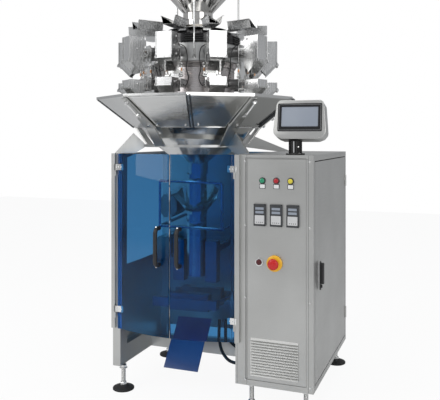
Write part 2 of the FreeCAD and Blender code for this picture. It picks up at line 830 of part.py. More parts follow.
def column_spider():
    """Plate under the column with five arms that reach to the chute rim between the heads."""
    plate = spider_thickness
    hub = turned([(0, column_bottom - plate), (column_radius + 8, column_bottom - plate),
                  (column_radius + 8, column_bottom), (0, column_bottom)])
    pieces = [hub]
    spread = (rim_radius - chute_bottom_radius) / (rim_height - chute_bottom)
    corner = chute_bottom_radius - chute_skin + (column_bottom - plate - chute_bottom - 1) * spread
    reach = corner - spider_arm / 2 * tan(pi / head_count) - seat_gap
    for k in range(head_count // 2):
        arm = box(-spider_arm / 2, spider_arm / 2, -reach, -column_radius + 20, column_bottom - plate, column_bottom)
        pieces.append(at_angle(arm, -head_step / 2 + 2 * k * head_step))
    return fuse(pieces)


def infeed():
    t = sheet
    outline = [
        (neck_radius - t, neck_top - 40), (neck_radius + 8, neck_top - 40), (neck_radius + 8, neck_top),
        (neck_radius + neck_shoulder, neck_top),
        (funnel_rim_radius, funnel_rim - t), (funnel_rim_radius + funnel_lip, funnel_rim - t),
        (funnel_rim_radius + funnel_lip, funnel_rim), (funnel_rim_radius - t, funnel_rim),
        (neck_radius - t, neck_top + t),
    ]
    funnel = turned(outline)
    middle = vec(weigher_x, weigher_y, neck_bottom)
    neck = Part.makeCylinder(neck_radius, neck_top - neck_bottom, middle)
    bore = Part.makeCylinder(neck_radius - t, neck_top + t - neck_bottom, middle)
    funnel = funnel.fuse(neck).cut(bore)
    slope = (funnel_rim - t - neck_top) / (funnel_rim_radius - neck_radius - neck_shoulder)
    stand_radius = drum_ledge_radius - 11
    stand_top = neck_top + (stand_radius - 1.1 * rod_radius - neck_radius - neck_shoulder) * slope - seat_gap
    rods = []
    for angle in rod_angles:
        low = ledge_bottom + ledge_height
        foot = vec(0, -stand_radius, low)
        stand = bar(foot, foot + up * (stand_top - low), rod_radius)
        seat = bar(foot, foot + up * 14, 9)
        rods.append(at_angle(fuse([stand, seat]), angle))
    keep("infeed_funnel", funnel, *rods)


# ---- forming, pulling and sealing ----
def faceted_wall(outer_rings, inner_rings):
    """Closed wall between two skins, each a stack of rings with the same number of points."""
    rings = outer_rings + inner_rings[::-1]
    faces = []
    count = len(rings[0])
    for level, nxt in zip(rings, rings[1:] + rings[:1]):
        for k in range(count):
            n = (k + 1) % count
            faces.append(Part.Face(Part.makePolygon([level[k], level[n], nxt[n], level[k]])))
            faces.append(Part.Face(Part.makePolygon([level[k], nxt[n], nxt[k], level[k]])))
    return closed_solid(faces)


def shoulder_rings(clear):
    """Collar ring round the tube, then the folded wings that guide the film over it."""
    axis = vec(weigher_x, weigher_y, 0)
    around = [radians(45 * k) for k in range(8)]
    throat = (tube_outer_radius + clear) / cos(radians(22.5))
    low = [axis + vec(throat * sin(a), -throat * cos(a), collar_low) for a in around]
    high = [axis + vec(throat * sin(a), -throat * cos(a), collar_low + 16) for a in around]
    wing = collar_wing + clear
    nose, cheek, side, shoulder, crown = collar_rises
    edge = [
        (0, -wing * 0.62, collar_low + nose), (wing * 0.52, -wing * 0.52, collar_low + cheek),
        (wing, -wing * 0.2, collar_low + side), (wing * 0.86, wing * 0.4, collar_low + shoulder),
        (0, wing * 0.95, collar_low + crown), (-wing * 0.86, wing * 0.4, collar_low + shoulder),
        (-wing, -wing * 0.2, collar_low + side), (-wing * 0.52, -wing * 0.52, collar_low + cheek),
    ]
    return [low, high, [axis + vec(*point) for point in edge]]


def forming_set():
    axis = vec(weigher_x, weigher_y, 0)
    high = cone_bottom - seat_gap
    tube = lathe([(tube_inner_radius, tube_bottom), (tube_outer_radius, tube_bottom),
                  (tube_outer_radius, high), (tube_inner_radius, high)], small_sides, axis)
    shoulder = faceted_wall(shoulder_rings(seat_gap + collar_skin), shoulder_rings(seat_gap))
    keep("forming_tube", tube, shoulder)


def rod_frame():
    half = rod_frame_width / 2
    x0 = weigher_x - half
    x1 = weigher_x + half
    y = weigher_y - tube_outer_radius - 34
    r = rod_frame_rod
    rods = [
        bar(vec(x0, y, rod_frame_bottom), vec(x1, y, rod_frame_bottom), r),
        bar(vec(x0, y, rod_frame_top), vec(x1, y, rod_frame_top), r),
        bar(vec(x0, y, rod_frame_bottom), vec(x0, y, rod_frame_top), r),
        bar(vec(x1, y, rod_frame_bottom), vec(x1, y, rod_frame_top), r),
    ]
    plate_y = back_plate_y() - seat_gap
    rods.append(bar(vec(x0, y, rod_frame_bottom), vec(x0, plate_y, rod_frame_bottom), r))
    rods.append(bar(vec(x1, y, rod_frame_bottom), vec(x1, plate_y, rod_frame_bottom), r))
    keep("collar_frame", fuse(rods))


def pulling_and_sealing():
    units = []
    for side in (-1, 1):
        inner = weigher_x + side * (tube_outer_radius + belt_unit_gap)
        outer = inner + side * belt_unit_width
        x0, x1 = sorted((inner, outer))
        block = box(x0, x1, weigher_y - 30, weigher_y + 30, belt_unit_bottom, belt_unit_top)
        arm_x = inner + side * (belt_unit_width - 25)
        arm = box(*sorted((arm_x, arm_x + side * 20)), weigher_y + 30, back_plate_y() - seat_gap,
                  belt_unit_top - 60, belt_unit_top - 30)
        units.append(fuse([block, arm]))
    keep("pull_belt_units", *units)


def back_plate_y():
    return -half_depth + left_frame_length - post_width - 8


def back_plate():
    """Upright plate behind the forming tube that carries the bagging units."""
    y = back_plate_y()
    keep("back_plate", box(-half_width + post_width + seat_gap, cabinet_left - seat_gap, y, y + 8 - seat_gap,
                           floor_gap + beam_height + 60, body_top - beam_width - seat_gap))


def jaw(side):
    """side is -1 for the front jaw, +1 for the rear one; drawn open."""
    near = weigher_y + side * (jaw_open + jaw_meet)
    far = near + side * jaw_depth
    y0, y1 = sorted((near, far))
    face = box(weigher_x - jaw_width / 2, weigher_x + jaw_width / 2, y0, y1,
              jaw_mid - jaw_height / 2, jaw_mid + jaw_height / 2)
    carrier_far = far + side * 16
    c0, c1 = sorted((far, carrier_far))
    wide = guide_half_span + 26
    carrier = box(weigher_x - wide, weigher_x + wide, c0, c1, jaw_mid - 24, jaw_mid + 24)
    whole = fuse([face, carrier])
    for s in (-1, 1):
        x = weigher_x + s * guide_half_span
        whole = whole.cut(bar(vec(x, c0 - 10, jaw_mid), vec(x, c1 + 10, jaw_mid), guide_radius + guide_play))
    return whole


def sealing_jaws():
    keep("front_jaw", jaw(-1))
    keep("rear_jaw", jaw(1))
    front = weigher_y - jaw_open - jaw_meet - jaw_depth - 16 - 10
    back = back_plate_y()
    rails = []
    for s in (-1, 1):
        x = weigher_x + s * guide_half_span
        rails.append(bar(vec(x, front - 10, jaw_mid), vec(x, back - seat_gap, jaw_mid), guide_radius))
    wide = guide_half_span + 26
    tie = box(weigher_x - wide, weigher_x + wide, front - 20, front, jaw_mid - 24, jaw_mid + 24)
    guides = fuse([tie] + rails)
    rollers = []
    for x, z, radius, length in film_rollers:
        shaft = bar(vec(x, back - seat_gap, z), vec(x, back - 30, z), 12)
        drum_part = bar(vec(x, back - 30, z), vec(x, back - 30 - length, z), radius)
        rollers.append(fuse([shaft, drum_part]))
    keep("jaw_guides_and_rollers", guides, *rollers)


def product_slide():
    x0 = weigher_x - slide_width / 2 - 33
    outline = [
        (x0, slide_top_y, slide_top), (x0, slide_foot_y, slide_foot),
        (x0, slide_foot_y + 3, slide_foot - 2), (x0, slide_top_y + 3, slide_top - 2),
    ]
    sheet_part = prism(outline, (slide_width, 0, 0))
    tab_z = floor_gap + beam_height
    lean = (slide_top_y - slide_foot_y) / (slide_top - slide_foot)
    y_at = slide_foot_y + lean * (tab_z - 20 - slide_foot)
    tab = box(x0 + 40, x0 + slide_width - 40, y_at, cross_beam_y - seat_gap, tab_z - 30, tab_z - 22)
    keep("product_slide", fuse([sheet_part, tab]))


def conduit(points, radius):
    """Tube of straight runs joined by tangent arcs through hand-chosen points."""
    spots = [vec(*p) for p in points]
    edges = []
    last = spots[0]
    for before, corner, after in zip(spots, spots[1:], spots[2:]):
        a = before - corner
        b = after - corner
        turn = pi - a.getAngle(b)
        shorter = min(a.Length, b.Length)
        trim = 0.45 * shorter
        bend = trim / tan(turn / 2)
        a.normalize()
        b.normalize()
        start = corner + a * trim
        end = corner + b * trim
        bisect = (a + b).normalize()
        middle = corner + bisect * (bend / cos(turn / 2) - bend)
        edges.append(Part.LineSegment(last, start).toShape())
        edges.append(Part.Arc(start, middle, end).toShape())
        print("bend radius", round(bend, 1))
        last = end
    edges.append(Part.LineSegment(last, spots[-1]).toShape())
    path = Part.Wire(edges)
    along = spots[1] - spots[0]
    along.normalize()
    side = along.cross(vec(0, 1, 0)).normalize()
    other = along.cross(side)
    corners = []
    for k in range(conduit_sides):
        turn = 2 * pi * k / conduit_sides
        corners.append(spots[0] + side * (radius * cos(turn)) + other * (radius * sin(turn)))
    section = Part.makePolygon(corners + corners[:1])
    tube = path.makePipeShell([section], True, False)
    expected = Part.Face(section).Area * path.Length
    print("conduit length", round(path.Length, 1), "volume ratio", round(tube.Volume / expected, 4))
    return tube


def conduits():
    for name, points in conduit_routes.items():
        keep(name, conduit(points, conduit_radius))


levelling_feet()
left_side()
cabinet()
panel_controls()
operator_panel()
guard_doors()
side_door()
drum()
feeder_pans()
heads()
hopper_drives()
chute()
weigher_frame()
infeed()
forming_set()
rod_frame()
pulling_and_sealing()
back_plate()
sealing_jaws()
product_slide()
conduits()

everything = Part.makeCompound([solid for solids in nodes.values() for solid in solids])
reach = everything.BoundBox
shift = vec(-(reach.XMin + reach.XMax) / 2, -(reach.YMin + reach.YMax) / 2, 0)
print("origin moved by", round(shift.x, 4), round(shift.y, 4))
os.makedirs("parts", exist_ok=True)
for name, solids in nodes.items():
    shape = solids[0] if len(solids) == 1 else Part.makeCompound(solids)
    shape.translate(shift)
    shape.exportStep("parts/%s.step" % name)
print(len(nodes), "nodes")
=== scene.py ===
import math

import bmesh
import bpy
from mathutils import Matrix, Vector


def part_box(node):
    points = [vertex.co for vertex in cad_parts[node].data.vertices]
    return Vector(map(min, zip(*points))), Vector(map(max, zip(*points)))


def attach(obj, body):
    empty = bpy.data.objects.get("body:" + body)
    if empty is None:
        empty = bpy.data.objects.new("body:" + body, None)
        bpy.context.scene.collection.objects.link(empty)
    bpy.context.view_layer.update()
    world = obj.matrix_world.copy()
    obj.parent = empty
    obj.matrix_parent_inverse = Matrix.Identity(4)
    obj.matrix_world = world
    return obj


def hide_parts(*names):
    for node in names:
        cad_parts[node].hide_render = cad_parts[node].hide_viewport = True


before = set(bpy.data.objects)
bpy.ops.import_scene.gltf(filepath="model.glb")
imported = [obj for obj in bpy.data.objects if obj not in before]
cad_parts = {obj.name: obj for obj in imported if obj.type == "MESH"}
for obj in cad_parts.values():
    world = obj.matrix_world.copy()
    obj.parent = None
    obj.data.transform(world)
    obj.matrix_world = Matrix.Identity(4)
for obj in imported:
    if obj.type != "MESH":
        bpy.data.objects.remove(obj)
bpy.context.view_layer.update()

# Sizes are in metres, in the frame of the CAD model, with the floor at z = 0.
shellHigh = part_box("cabinet_shell")[1]
shift = Vector((shellHigh[0] - 0.580, shellHigh[1] - 0.475, 0.0))
weigher = Vector((-0.191, -0.171, 0.0)) + shift
headCount = 10
headStep = 360.0 / headCount


def at(x, y, z):
    return Vector((x, y, z)) + shift


# materials


def newTree(name, sockets):
    group = bpy.data.node_groups.new(name, "ShaderNodeTree")
    for label, kind, direction in sockets:
        group.interface.new_socket(name=label, in_out=direction, socket_type=kind)
    enter = group.nodes.new("NodeGroupInput")
    leave = group.nodes.new("NodeGroupOutput")
    return group, enter, leave


def brushedGroup():
    group, enter, leave = newTree("brushedGrain", [
        ("Stretch", "NodeSocketVector", "INPUT"),
        ("Depth", "NodeSocketFloat", "INPUT"),
        ("Grain", "NodeSocketFloat", "OUTPUT"),
        ("Cloud", "NodeSocketFloat", "OUTPUT"),
        ("Normal", "NodeSocketVector", "OUTPUT"),
    ])
    place = group.nodes.new("ShaderNodeTexCoord")
    scale = group.nodes.new("ShaderNodeVectorMath")
    scale.operation = "MULTIPLY"
    grain = group.nodes.new("ShaderNodeTexNoise")
    grain.inputs["Scale"].default_value = 1.0
    grain.inputs["Detail"].default_value = 3.0
    cloud = group.nodes.new("ShaderNodeTexNoise")
    cloud.inputs["Scale"].default_value = 3.2
    cloud.inputs["Detail"].default_value = 4.0
    bump = group.nodes.new("ShaderNodeBump")
    bump.inputs["Distance"].default_value = 0.0004
    group.links.new(place.outputs["Object"], scale.inputs[0])
    group.links.new(enter.outputs["Stretch"], scale.inputs[1])
    group.links.new(scale.outputs[0], grain.inputs["Vector"])
    group.links.new(place.outputs["Object"], cloud.inputs["Vector"])
    group.links.new(grain.outputs["Fac"], bump.inputs["Height"])
    group.links.new(enter.outputs["Depth"], bump.inputs["Strength"])
    group.links.new(grain.outputs["Fac"], leave.inputs["Grain"])
    group.links.new(cloud.outputs["Fac"], leave.inputs["Cloud"])
    group.links.new(bump.outputs["Normal"], leave.inputs["Normal"])
    return group


brushed = brushedGroup()


def material(name):
    made = bpy.data.materials.new(name)
    made.use_nodes = True
    tree = made.node_tree
    return made, tree, tree.nodes["Principled BSDF"]


def remap(tree, source, low, high, outLow, outHigh):
    node = tree.nodes.new("ShaderNodeMapRange")
    node.inputs["From Min"].default_value = low
    node.inputs["From Max"].default_value = high
    node.inputs["To Min"].default_value = outLow
    node.inputs["To Max"].default_value = outHigh
    tree.links.new(source, node.inputs["Value"])
    return node.outputs["Result"]


def mixTwo(tree, factor, first, second):
    node = tree.nodes.new("ShaderNodeMix")
    node.data_type = "RGBA"
    node.inputs["A"].default_value = (*first, 1.0)
    node.inputs["B"].default_value = (*second, 1.0)
    tree.links.new(factor, node.inputs["Factor"])
    return node.outputs["Result"]


def steel(name, settings):
    made, tree, shader = material(name)
    grain = tree.nodes.new("ShaderNodeGroup")
    grain.node_tree = brushed
    grain.inputs["Stretch"].default_value = settings["stretch"]
    grain.inputs["Depth"].default_value = settings["depth"]
    dark, light = settings["tones"]
    smooth, rough = settings["rough"]
    colour = mixTwo(tree, remap(tree, grain.outputs["Cloud"], 0.3, 0.7, 0.0, 1.0), dark, light)
    tree.links.new(colour, shader.inputs["Base Color"])
    tree.links.new(remap(tree, grain.outputs["Grain"], 0.3, 0.7, smooth, rough), shader.inputs["Roughness"])
    tree.links.new(grain.outputs["Normal"], shader.inputs["Normal"])
    shader.inputs["Metallic"].default_value = settings.get("metallic", 1.0)
    return made


def plastic(name, settings):
    made, tree, shader = material(name)
    spot = tree.nodes.new("ShaderNodeTexCoord")
    noise = tree.nodes.new("ShaderNodeTexNoise")
    noise.inputs["Scale"].default_value = settings.get("scale", 300.0)
    noise.inputs["Detail"].default_value = 3.0
    tree.links.new(spot.outputs["Object"], noise.inputs["Vector"])
    colour = mixTwo(tree, remap(tree, noise.outputs["Fac"], 0.35, 0.65, 0.0, 1.0), *settings["tones"])
    tree.links.new(colour, shader.inputs["Base Color"])
    tree.links.new(remap(tree, noise.outputs["Fac"], 0.3, 0.7, *settings["rough"]),
                   shader.inputs["Roughness"])
    bump = tree.nodes.new("ShaderNodeBump")
    bump.inputs["Distance"].default_value = 0.0003
    bump.inputs["Strength"].default_value = settings.get("bump", 0.25)
    tree.links.new(noise.outputs["Fac"], bump.inputs["Height"])
    tree.links.new(bump.outputs["Normal"], shader.inputs["Normal"])
    shader.inputs["Coat Weight"].default_value = settings.get("coat", 0.0)
    return made


def acrylic(name, colour):
    made, tree, shader = material(name)
    shader.inputs["Base Color"].default_value = (*colour, 1.0)
    shader.inputs["Transmission Weight"].default_value = 1.0
    shader.inputs["IOR"].default_value = 1.3
    spot = tree.nodes.new("ShaderNodeTexCoord")
    noise = tree.nodes.new("ShaderNodeTexNoise")
    noise.inputs["Scale"].default_value = 2.0
    tree.links.new(spot.outputs["Object"], noise.inputs["Vector"])
    tree.links.new(remap(tree, noise.outputs["Fac"], 0.3, 0.7, 0.0, 0.03), shader.inputs["Roughness"])
    clear = tree.nodes.new("ShaderNodeBsdfTransparent")
    clear.inputs["Color"].default_value = (*[c ** 0.5 for c in colour], 1.0)
    rays = tree.nodes.new("ShaderNodeLightPath")
    mix = tree.nodes.new("ShaderNodeMixShader")
    end = tree.nodes["Material Output"]
    tree.links.new(rays.outputs["Is Shadow Ray"], mix.inputs["Fac"])
    tree.links.new(shader.outputs["BSDF"], mix.inputs[1])
    tree.links.new(clear.outputs["BSDF"], mix.inputs[2])
    tree.links.new(mix.outputs["Shader"], end.inputs["Surface"])
    return made


finish = {
    "cabinet": steel("cabinetSteel", {
        "stretch": (6.0, 6.0, 420.0), "depth": 0.10, "rough": (0.34, 0.46),
        "tones": ((0.50, 0.50, 0.485), (0.56, 0.56, 0.545)),
    }),
    "frame": steel("frameSteel", {
        "stretch": (300.0, 300.0, 5.0), "depth": 0.10, "rough": (0.30, 0.42),
        "tones": ((0.52, 0.52, 0.505), (0.58, 0.58, 0.565)),
    }),
    "mirror": steel("mirrorSteel", {
        "stretch": (14.0, 14.0, 160.0), "depth": 0.05, "rough": (0.10, 0.20),
        "tones": ((0.62, 0.62, 0.61), (0.70, 0.70, 0.69)),
    }),
    "hopper": steel("hopperSteel", {
        "stretch": (240.0, 240.0, 8.0), "depth": 0.08, "rough": (0.16, 0.30),
        "tones": ((0.66, 0.66, 0.655), (0.74, 0.74, 0.735)),
    }),
    "drive": steel("driveSteel", {
        "stretch": (60.0, 60.0, 60.0), "depth": 0.15, "rough": (0.30, 0.50),
        "tones": ((0.22, 0.22, 0.22), (0.34, 0.34, 0.34)),
    }),
    "drumPlate": steel("drumPlate", {
        "stretch": (8.0, 8.0, 360.0), "depth": 0.10, "rough": (0.34, 0.44),
        "tones": ((0.62, 0.62, 0.61), (0.68, 0.68, 0.67)),
    }),
    "blackPlastic": plastic("blackPlastic", {
        "tones": ((0.012, 0.012, 0.013), (0.020, 0.020, 0.021)), "rough": (0.32, 0.48),
    }),
    "rubber": plastic("blackRubber", {
        "tones": ((0.010, 0.010, 0.010), (0.018, 0.018, 0.018)), "rough": (0.55, 0.75), "bump": 0.5,
    }),
    "red": plastic("redPlastic", {"tones": ((0.50, 0.012, 0.012), (0.56, 0.018, 0.016)),
                                  "rough": (0.22, 0.34)}),
    "blueSheet": plastic("blueSheet", {"tones": ((0.018, 0.050, 0.170), (0.024, 0.062, 0.20)),
                                       "rough": (0.25, 0.4)}),
    "acrylic": acrylic("blueAcrylic", (0.060, 0.29, 0.62)),
    "flap": steel("gateSteel", {
        "stretch": (200.0, 200.0, 8.0), "depth": 0.05, "rough": (0.08, 0.18),
        "tones": ((0.60, 0.60, 0.59), (0.68, 0.68, 0.67)),
    }),
    "bright": steel("brightSteel", {
        "stretch": (80.0, 80.0, 80.0), "depth": 0.05, "rough": (0.12, 0.22),
        "tones": ((0.74, 0.74, 0.73), (0.80, 0.80, 0.79)),
    }),
    # the column steel's pinkish tint is a painted reflection: warm highlight streaks coloured into the
    # steel itself
    "column": steel("columnSteelPinkReflection", {
        "stretch": (8.0, 8.0, 300.0), "depth": 0.10, "rough": (0.24, 0.34),
        "tones": ((0.60, 0.565, 0.56), (0.68, 0.64, 0.635)),
    }),
    "mirrorCone": steel("mirrorCone", {
        "stretch": (18.0, 18.0, 40.0), "depth": 0.20, "rough": (0.06, 0.14),
        "tones": ((0.60, 0.585, 0.56), (0.70, 0.69, 0.67)),
    }),
    # near-black steel for the chute's corner strips: painted shade of the seam gaps between the chute
    # panels
    "seamGapShade": steel("seamGapShade", {
        "stretch": (60.0, 60.0, 60.0), "depth": 0.10, "rough": (0.25, 0.40),
        "tones": ((0.075, 0.080, 0.085), (0.12, 0.125, 0.13)),
    }),
    "seam": steel("seamShadow", {
        "stretch": (60.0, 60.0, 60.0), "depth": 0.05, "rough": (0.45, 0.6),
        "tones": ((0.16, 0.16, 0.16), (0.20, 0.20, 0.20)),
    }),
    "silver": steel("silverFace", {
        "stretch": (60.0, 60.0, 200.0), "depth": 0.05, "rough": (0.35, 0.5), "metallic": 0.3,
        "tones": ((0.58, 0.58, 0.58), (0.64, 0.64, 0.64)),
    }),
    "brass": steel("brassBush", {
        "stretch": (60.0, 60.0, 60.0), "depth": 0.05, "rough": (0.20, 0.34),
        "tones": ((0.50, 0.27, 0.14), (0.60, 0.34, 0.18)),
    }),
    "blackGloss": plastic("blackGloss", {
        "tones": ((0.008, 0.008, 0.009), (0.014, 0.014, 0.015)), "rough": (0.10, 0.22), "bump": 0.05,
    }),
    "darkPlastic": plastic("darkPlastic", {
        "tones": ((0.035, 0.037, 0.040), (0.050, 0.052, 0.056)), "rough": (0.35, 0.5),
    }),
    "whitePlate": plastic("whitePlate", {
        "tones": ((0.72, 0.72, 0.72), (0.78, 0.78, 0.78)), "rough": (0.35, 0.45), "bump": 0.05,
    }),
    "display": plastic("display", {
        "tones": ((0.26, 0.29, 0.34), (0.30, 0.33, 0.38)), "rough": (0.08, 0.14), "bump": 0.0, "scale": 4.0,
    }),
    "lampGreen": plastic("lampGreen", {"tones": ((0.02, 0.24, 0.12), (0.03, 0.30, 0.16)),
                                       "rough": (0.1, 0.2)}),
    "lampRed": plastic("lampRed", {"tones": ((0.38, 0.012, 0.02), (0.45, 0.02, 0.03)),
                                   "rough": (0.1, 0.2)}),
    "lampYellow": plastic("lampYellow", {"tones": ((0.62, 0.52, 0.04), (0.70, 0.60, 0.06)),
                                         "rough": (0.1, 0.2)}),
    "darkRed": plastic("darkRed", {"tones": ((0.060, 0.006, 0.008), (0.085, 0.010, 0.012)),
                                   "rough": (0.15, 0.3)}),
    "yellow": plastic("yellowDisc", {"tones": ((0.80, 0.42, 0.012), (0.86, 0.47, 0.020)),
                                     "rough": (0.3, 0.4)}),
}

nodeFinish = {
    "levelling_feet": "rubber", "frame_posts": "frame", "lower_beams": "frame", "upper_beams": "frame",
    "cabinet_shell": "cabinet", "cabinet_front_panel": "cabinet", "temperature_controllers": "blackPlastic",
    "lamps_and_buttons": "red", "stop_mushroom": "red", "hmi_pedestal": "blackPlastic",
    "hmi_housing": "cabinet",
    "hmi_bezel": "blackPlastic", "left_guard_door": "acrylic", "right_guard_door": "acrylic",
    "left_door_handle": "blackPlastic", "right_door_handle": "blackPlastic", "cabinet_side_door": "cabinet",
    "side_door_handle": "blackPlastic", "drum_body": "drumPlate", "drum_top_ring": "mirror",
    "top_cone": "mirror",
    "feeder_pans": "hopper", "feed_hoppers": "hopper", "weigh_hoppers": "hopper", "hopper_drives": "drive",
    "discharge_chute": "mirror", "collecting_cone": "mirror", "weigher_frame": "frame",
    "weigher_legs": "frame",
    "infeed_funnel": "mirror", "forming_tube": "mirror", "collar_frame": "mirror",
    "pull_belt_units": "drive",
    "back_plate": "frame", "front_jaw": "drive", "rear_jaw": "drive", "jaw_guides_and_rollers": "drive",
    "product_slide": "blueSheet", "front_conduit": "rubber", "rear_conduit": "rubber",
}
for name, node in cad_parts.items():
    kind = nodeFinish.get(name, "hopper")
    for slot in node.material_slots:
        slot.material = finish[kind]
print("materials laid on the nodes")

# building pieces; every shape is drawn in the machine's own frame and moved by the shift


def boxIn(mesh, low, high, turn=None):
    made = bmesh.ops.create_cube(mesh, size=1.0)["verts"]
    middle = [(a + b) / 2 for a, b in zip(low, high)]
    size = [abs(b - a) for a, b in zip(low, high)]
    for vert in made:
        vert.co = Vector([m + c * s for m, c, s in zip(middle, vert.co, size)])
        if turn:
            vert.co = turn @ vert.co
    return made


def latheIn(mesh, profile, middle, segments=64, turn=None):
    rings = []
    for radius, height in profile:
        ring = []
        for k in range(segments if radius > 1e-6 else 1):
            angle = 2 * math.pi * k / segments
            spot = Vector((radius * math.cos(angle), radius * math.sin(angle), height))
            spot = (turn @ spot if turn else spot) + Vector(middle)
            ring.append(mesh.verts.new(spot))
        rings.append(ring)
    for low, high in zip(rings, rings[1:]):
        for k in range(segments):
            n = (k + 1) % segments
            if len(low) > 1 and len(high) > 1:
                mesh.faces.new((low[k], low[n], high[n], high[k]))
            elif len(low) > 1:
                mesh.faces.new((low[k], low[n], high[0]))
            elif len(high) > 1:
                mesh.faces.new((low[0], high[n], high[k]))


def rodIn(mesh, start, end, radius, segments=16, ends=0.0):
    start, end = Vector(start), Vector(end)
    span = end - start
    turn = span.to_track_quat("Z", "Y").to_matrix()
    cut = min(ends, radius * 0.9)
    latheIn(mesh, [(0, 0), (radius - cut, 0), (radius, cut), (radius, span.length - cut),
                   (radius - cut, span.length), (0, span.length)], start, segments, turn)


def tubeIn(mesh, points, radius, segments=12):
    spots = [Vector(point) for point in points]
    last = side = None
    for k, spot in enumerate(spots):
        ahead = (spots[min(k + 1, len(spots) - 1)] - spots[max(k - 1, 0)]).normalized()
        if side is None:
            side = ahead.orthogonal().normalized()
        side = (side - ahead * side.dot(ahead)).normalized()
        other = ahead.cross(side)
        ring = []
        for n in range(segments):
            angle = 2 * math.pi * n / segments
            ring.append(mesh.verts.new(spot + (side * math.cos(angle) + other * math.sin(angle)) * radius))
        if last:
            for n in range(segments):
                m = (n + 1) % segments
                mesh.faces.new((last[n], last[m], ring[m], ring[n]))
        else:
            mesh.faces.new(ring[::-1])
        last = ring
    mesh.faces.new(last)


def smoothLine(points, steps=8):
    spots = [Vector(point) for point in points]
    spots = [spots[0] * 2 - spots[1]] + spots + [spots[-1] * 2 - spots[-2]]
    line = []
    for k in range(1, len(spots) - 2):
        a, b, c, d = spots[k - 1:k + 3]
        for step in range(steps):
            t = step / steps
            line.append(0.5 * (2 * b + (c - a) * t + (2 * a - 5 * b + 4 * c - d) * t * t
                               + (3 * b - a - 3 * c + d) * t * t * t))
    line.append(spots[-2])
    return line


def springIn(mesh, start, end, radius, wire, turns):
    start, end = Vector(start), Vector(end)
    span = end - start
    side = span.orthogonal().normalized()
    other = span.normalized().cross(side)
    points = []
    for k in range(turns * 10 + 1):
        angle = 2 * math.pi * k / 10
        outward = side * math.cos(angle) + other * math.sin(angle)
        points.append(start + span * (k / (turns * 10)) + outward * radius)
    tubeIn(mesh, points, wire, 6)


def prismIn(mesh, outline, low, high, axis=0):  # the outline holds the two other coordinates
    loops = []
    for along in (low, high):
        loop = []
        for first, second in outline:
            spot = [first, second]
            spot.insert(axis, along)
            loop.append(mesh.verts.new(spot))
        loops.append(loop)
    count = len(outline)
    mesh.faces.new(loops[0][::-1])
    mesh.faces.new(loops[1])
    for k in range(count):
        n = (k + 1) % count
        mesh.faces.new((loops[0][k], loops[0][n], loops[1][n], loops[1][k]))


def screwIn(mesh, spot, facing, radius=0.005, high=0.003):
    spot, facing = Vector(spot), Vector(facing).normalized()
    turn = facing.to_track_quat("Z", "Y").to_matrix()
    latheIn(mesh, [(radius, 0), (radius, high * 0.6), (radius * 0.7, high), (radius * 0.45, high),
                   (radius * 0.40, high * 0.4), (0, high * 0.4)], spot, 12, turn)


def boltIn(mesh, spot, facing, radius=0.008, high=0.006):
    spot, facing = Vector(spot), Vector(facing).normalized()
    turn = facing.to_track_quat("Z", "Y").to_matrix()
    latheIn(mesh, [(radius * 1.35, 0), (radius * 1.35, high * 0.25), (radius * 1.1, high * 0.25)], spot, 20,
            turn)
    latheIn(mesh, [(radius, high * 0.2), (radius, high * 0.9), (radius * 0.85, high), (0, high)], spot, 6,
            turn)


def bevelled(mesh, width, segments=2, sharp=30.0):
    mesh.normal_update()
    edges = [e for e in mesh.edges
             if len(e.link_faces) == 2 and e.calc_face_angle(0.0) > math.radians(sharp)]
    bmesh.ops.bevel(mesh, geom=edges, offset=width, offset_type="OFFSET", segments=segments, profile=0.5,
                    affect="EDGES", clamp_overlap=True, material=-1)


def copyRound(mesh, count=headCount, step=headStep):  # one head's drawing, turned round the axis
    source = list(mesh.verts) + list(mesh.edges) + list(mesh.faces)
    for k in range(1, count):
        made = bmesh.ops.duplicate(mesh, geom=source)["geom"]
        turn = Matrix.Rotation(math.radians(step * k), 4, "Z")
        bmesh.ops.transform(mesh, matrix=turn, verts=[v for v in made if isinstance(v, bmesh.types.BMVert)])


def piece(name, mesh, look, body="machine", replaces=(), atWeigher=0.0, aroundWeigher=False, edge=0.0,
          sharp=35.0):
    if edge:
        bevelled(mesh, edge)
    if aroundWeigher:
        mesh.transform(Matrix.Translation(weigher - shift) @ Matrix.Rotation(math.radians(atWeigher), 4,
                                                                             "Z"))
    mesh.transform(Matrix.Translation(shift))
    bmesh.ops.recalc_face_normals(mesh, faces=mesh.faces)
    data = bpy.data.meshes.new(name)
    mesh.to_mesh(data)
    mesh.free()
    data.shade_smooth()
    data.set_sharp_from_angle(angle=math.radians(sharp))
    data.materials.append(finish[look])
    thing = bpy.data.objects.new(name, data)
    bpy.context.scene.collection.objects.link(thing)
    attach(thing, body)
    if replaces:
        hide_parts(*replaces)
    return thing


def drawn(draw, *values, heads=False):
    mesh = bmesh.new()
    draw(mesh, *values)
    if heads:
        copyRound(mesh)
    return mesh


def joinRings(mesh, rings):
    for low, high in zip(rings, rings[1:]):
        for k in range(len(low)):
            n = (k + 1) % len(low)
            mesh.faces.new((low[k], low[n], high[n], high[k]))


# weigher heads


